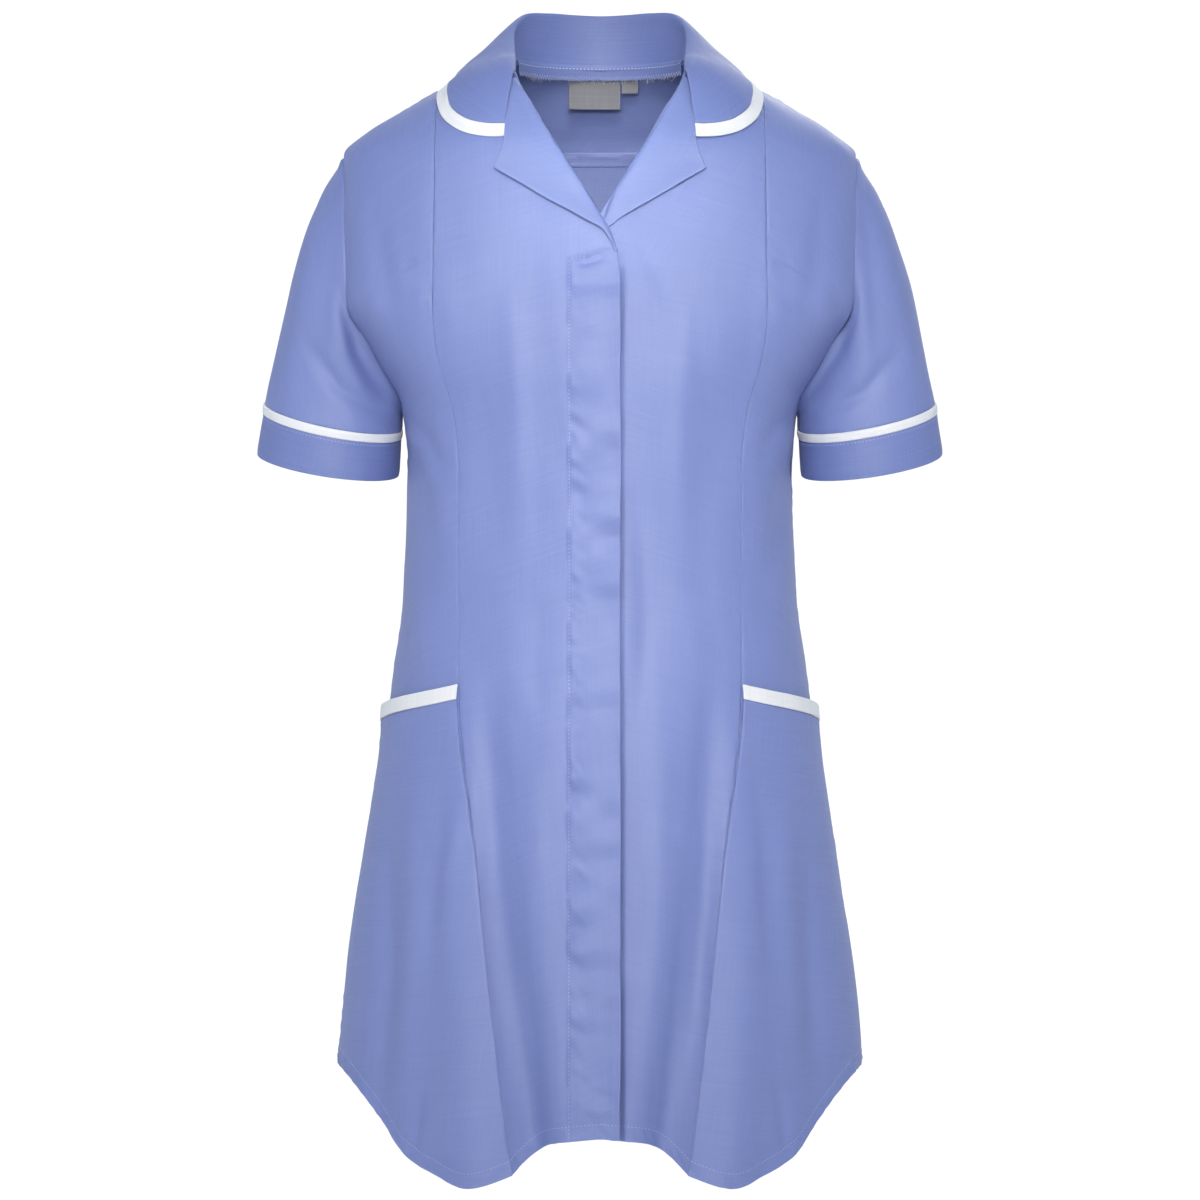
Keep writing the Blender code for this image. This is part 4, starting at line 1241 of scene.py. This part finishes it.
def inside_strip(name, tree, half_width, high, low, hung_from, seed):
    """A narrow strip inside the back: it lies on it down to a level, and hangs free below."""
    across = np.linspace(-half_width, half_width, round(2 * half_width / STRIP_STEP))
    down = np.linspace(high, low, 10)
    grid = np.zeros((len(down), len(across), 3))
    for r, z in enumerate(down):
        for c, x in enumerate(across):
            level = max(z, hung_from)
            hit = tree.ray_cast(Vector((x * MM, -0.02, level * MM)), Vector((0, 1, 0)))[0]
            depth = hit.y + HANG * (level - z) * MM if hit else np.nan
            grid[r, c] = (x * MM, depth, z * MM)
    good = ~np.isnan(grid[:, :, 1]).any(axis=0)
    cloth = Cloth(None, grid[:, good])
    ragged = hills(cloth.x / 3, 0.5, seed) * ease(cloth.top, cloth.top.max() - 3, cloth.top.max())
    cloth.slide(up=0.5 * ragged)
    lift = 0.9 + 0.2 * hills(cloth.x / 6, cloth.z / 8, seed + 1)
    piece = sew(name, cloth, poplin, lift, wall=0.5, doubled=0.8, round_edge=0.2)
    state_cut(piece, cloth)
    return cloth


inside = tree_of(yoke_piece, back_panel, collar_piece, label_piece, tab_piece)
neck_strip = inside_strip("neck_seam_strip", inside, half_width=63,
                          high=3.0, low=-8.3, hung_from=1.5, seed=170)
yoke_strip = inside_strip("yoke_seam_strip", inside, half_width=110,
                          high=-61.5, low=-72.0, hung_from=-80.0, seed=172)

# %% [markdown]
# A stitch is one short grain of thread, sunk into the cloth. It is modelled once, as a thin
# cylinder whose ends are drawn out and narrowed, and then set along hems, bindings and the
# fly, one copy every 2.9 mm. A stitch has 20 faces, and the copies of one row are one mesh.

# %% One stitch
STITCH_LENGTH = 1.6
STITCH_THICK = 0.6

bpy.ops.object.select_all(action="DESELECT")
bpy.ops.mesh.primitive_cylinder_add(
    vertices=6, radius=STITCH_THICK / 2 * MM, depth=0.6 * STITCH_LENGTH * MM,
    rotation=(0, math.radians(90), 0),
)
stitch = bpy.context.object
bpy.ops.object.transform_apply(rotation=True)
bpy.ops.object.mode_set(mode="EDIT")
bpy.ops.mesh.select_mode(type="FACE")
bpy.ops.mesh.select_all(action="DESELECT")
bpy.ops.object.mode_set(mode="OBJECT")
for end in stitch.data.polygons:
    end.select = abs(end.normal.x) > 0.9
bpy.ops.object.mode_set(mode="EDIT")
bpy.ops.mesh.extrude_faces_move(
    TRANSFORM_OT_shrink_fatten={"value": 0.2 * STITCH_LENGTH * MM}
)
bpy.ops.transform.resize(value=(1, 0.45, 0.45))
bpy.ops.object.mode_set(mode="OBJECT")
STITCH_POINTS = np.array([vert.co[:] for vert in stitch.data.vertices])
STITCH_FACES = [list(face.vertices) for face in stitch.data.polygons]
bpy.data.objects.remove(stitch)
print("one stitch, mm:", np.round(np.ptp(STITCH_POINTS, axis=0) / MM, 2), len(STITCH_FACES), "faces")

# %% [markdown]
# A row of stitches follows a line on a finished piece: where its distance from an edge, or
# its place across the body, passes a chosen value. Each stitch lies along the line, and its
# back is turned out of the cloth.

# %% Rows of stitches
PITCH = 2.9
SUNK = 0.05


def line_on(cloth, field, value, by_column=False):
    """Points and faces where a field passes a value, one for each row or each column."""
    shown, face = cloth.shown, cloth.face
    if by_column:
        field, shown, face = field.T, shown.transpose(1, 0, 2), face.transpose(1, 0, 2)
    found = []
    for numbers, points, ways in zip(field, shown, face):
        cells = np.nonzero((numbers[:-1] - value) * (numbers[1:] - value) <= 0)[0]
        if len(cells):
            i = cells[0]
            t = (value - numbers[i]) / (numbers[i + 1] - numbers[i])
            found.append(np.concatenate([points[i] * (1 - t) + points[i + 1] * t, ways[i]]))
    return np.array(found)


def stitches(name, line, thread, scale=1.0):
    """Stitches along a line of points and face directions."""
    leap = np.linalg.norm(np.diff(line[:, :3], axis=0), axis=1)
    knots = np.concatenate([[0], np.cumsum(leap)])
    middles = np.arange(PITCH / 2 * MM, knots[-1], PITCH * MM)

    def at(spots):
        return np.stack([np.interp(spots, knots, line[:, k]) for k in range(6)], axis=1)

    half = 0.5 * STITCH_LENGTH * MM
    along = at(middles + half)[:, :3] - at(middles - half)[:, :3]
    along /= np.linalg.norm(along, axis=1)[:, None]
    up = at(middles)[:, 3:]
    side = np.cross(up, along)
    side /= np.linalg.norm(side, axis=1)[:, None]
    up = np.cross(along, side)
    centre = at(middles)[:, :3] - up * SUNK * MM
    shape = STITCH_POINTS * scale
    points = centre[:, None] + shape[None, :, :1] * along[:, None]
    points = points + shape[None, :, 1:2] * side[:, None] + shape[None, :, 2:] * up[:, None]
    faces = [[k * len(shape) + v for v in face] for k in range(len(centre)) for face in STITCH_FACES]
    mesh = bpy.data.meshes.new(name)
    mesh.from_pydata(points.reshape(-1, 3).tolist(), [], faces)
    mesh.shade_smooth()
    add_piece(name, mesh, thread)
    return len(centre)


fly = line_on(front_right, front_right.x, FLY_LINE)
fly = fly[fly[:, 2] < FLY_TOP * MM]
total = stitches("fly_stitches", fly, pale_thread)
for k, z in enumerate((FLY_TOP + 0.3, FLY_TOP - 1.2)):
    bar = line_on(front_right, front_right.z, z, by_column=True)
    bar = bar[(bar[:, 0] > (FLY_LINE - 1) * MM) & (bar[:, 0] < (FLY_LINE + 11.5) * MM)]
    total += stitches("fly_bar_stitches_%d" % k, bar, pale_thread, scale=0.8)
HEMMED = {
    "front_right": front_right, "front_left": front_left, "pocket_right": pocket_right,
    "pocket_left": pocket_left, "side_right": side_right, "side_left": side_left, "back": back,
}
for name, cloth in HEMMED.items():
    line = line_on(cloth, cloth.bottom, HEM_BAND, by_column=True)
    total += stitches("hem_stitches_" + name, line, pale_thread)
BOUND = {
    "mouth_right": (mouth_right, mouth_right.bottom), "mouth_left": (mouth_left, mouth_left.bottom),
    "collar": (collar_trim, collar_trim.top), "pipe_right": (pipe_right, pipe_right.bottom),
    "pipe_left": (pipe_left, pipe_left.bottom),
}
for name, (cloth, field) in BOUND.items():
    line = line_on(cloth, field, STITCH_IN, by_column=True)
    total += stitches("binding_stitches_" + name, line, white_thread, scale=0.8)
for name, cloth in (("right", cuff_right), ("left", cuff_left)):
    line = line_on(cloth, cloth.top, 2.0, by_column=True)
    total += stitches("cuff_stitches_" + name, line, pale_thread, scale=0.8)
line = line_on(neck_strip, neck_strip.top, 2.6, by_column=True)
total += stitches("neck_strip_stitches", line, white_thread)
print("stitches:", total)

# %% [markdown]
# Overlocking is a zigzag of thread round a raw edge, and where the cloth frays some ends
# stick out. Both are thin curves with a round bevel, turned into meshes: the zigzag follows
# the strip's lower edge, and the loose ends hang below it, uneven in length and lean.

# %% Overlocking and loose ends
OVERLOCK_RADIUS = 0.14
LOOSE_RADIUS = 0.09


def thread_piece(name, lines, radius, thread):
    """Thin round threads along lines of points, as one mesh."""
    curve = bpy.data.curves.new(name, "CURVE")
    curve.dimensions = "3D"
    curve.bevel_depth = radius * MM
    curve.bevel_resolution = 0
    curve.use_fill_caps = True
    for line in lines:
        spline = curve.splines.new("POLY")
        spline.points.add(len(line) - 1)
        spline.points.foreach_set("co", np.insert(np.array(line), 3, 1.0, axis=1).ravel())
    piece = bpy.data.objects.new(name, curve)
    bpy.context.scene.collection.objects.link(piece)
    bpy.ops.object.select_all(action="DESELECT")
    piece.select_set(True)
    bpy.context.view_layer.objects.active = piece
    bpy.ops.object.convert(target="MESH")
    piece = bpy.context.object
    piece.data.materials.clear()
    piece.data.materials.append(thread)
    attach(piece, "root")
    print(name, "faces:", len(piece.data.polygons))


def overlock(cloth, pitch, depth):
    """A zigzag along the lower edge of a strip."""
    edge = line_on(cloth, cloth.bottom, 0.05, by_column=True)
    inner = line_on(cloth, cloth.bottom, depth, by_column=True)
    count = int((edge[-1, 0] - edge[0, 0]) / (pitch * MM)) * 2
    zigzag = []
    for k, x in enumerate(np.linspace(edge[0, 0], edge[-1, 0], count)):
        line = edge if k % 2 else inner
        spot = [np.interp(x, line[:, 0], line[:, axis]) for axis in range(6)]
        zigzag.append(np.array(spot[:3]) + np.array(spot[3:]) * 0.15 * MM)
    return zigzag


def loose_ends(cloth, count, longest, seed):
    """Short ends of thread that hang from the lower edge of a strip."""
    random = np.random.default_rng(seed)
    edge = line_on(cloth, cloth.bottom, 0.3, by_column=True)
    ends = []
    for _ in range(count):
        spot = edge[random.integers(len(edge))]
        way = np.array([random.uniform(-0.9, 0.9), -0.3, -1.0])
        length = random.uniform(0.3, 1.0) ** 1.6 * longest * MM
        bend = np.array([random.uniform(-0.5, 0.5), 0.0, 0.0])
        ends.append([spot[:3] + (way * t + bend * t * t) * length for t in (0, 0.35, 0.7, 1.0)])
    return ends


zigzag = overlock(neck_strip, pitch=1.9, depth=3.2)
thread_piece("neck_overlock", [zigzag], OVERLOCK_RADIUS, white_thread)
zigzag = overlock(yoke_strip, pitch=2.1, depth=3.4)
thread_piece("yoke_overlock", [zigzag], OVERLOCK_RADIUS, pale_thread)
ends = loose_ends(neck_strip, count=70, longest=4.0, seed=180)
thread_piece("neck_loose_ends", ends, LOOSE_RADIUS, white_thread)

# %% [markdown]
# At the end the cut sizes are listed as a maker would chalk them out, without seam allowances.

# %% Sizes and the end
print("cuts:", CUTS)
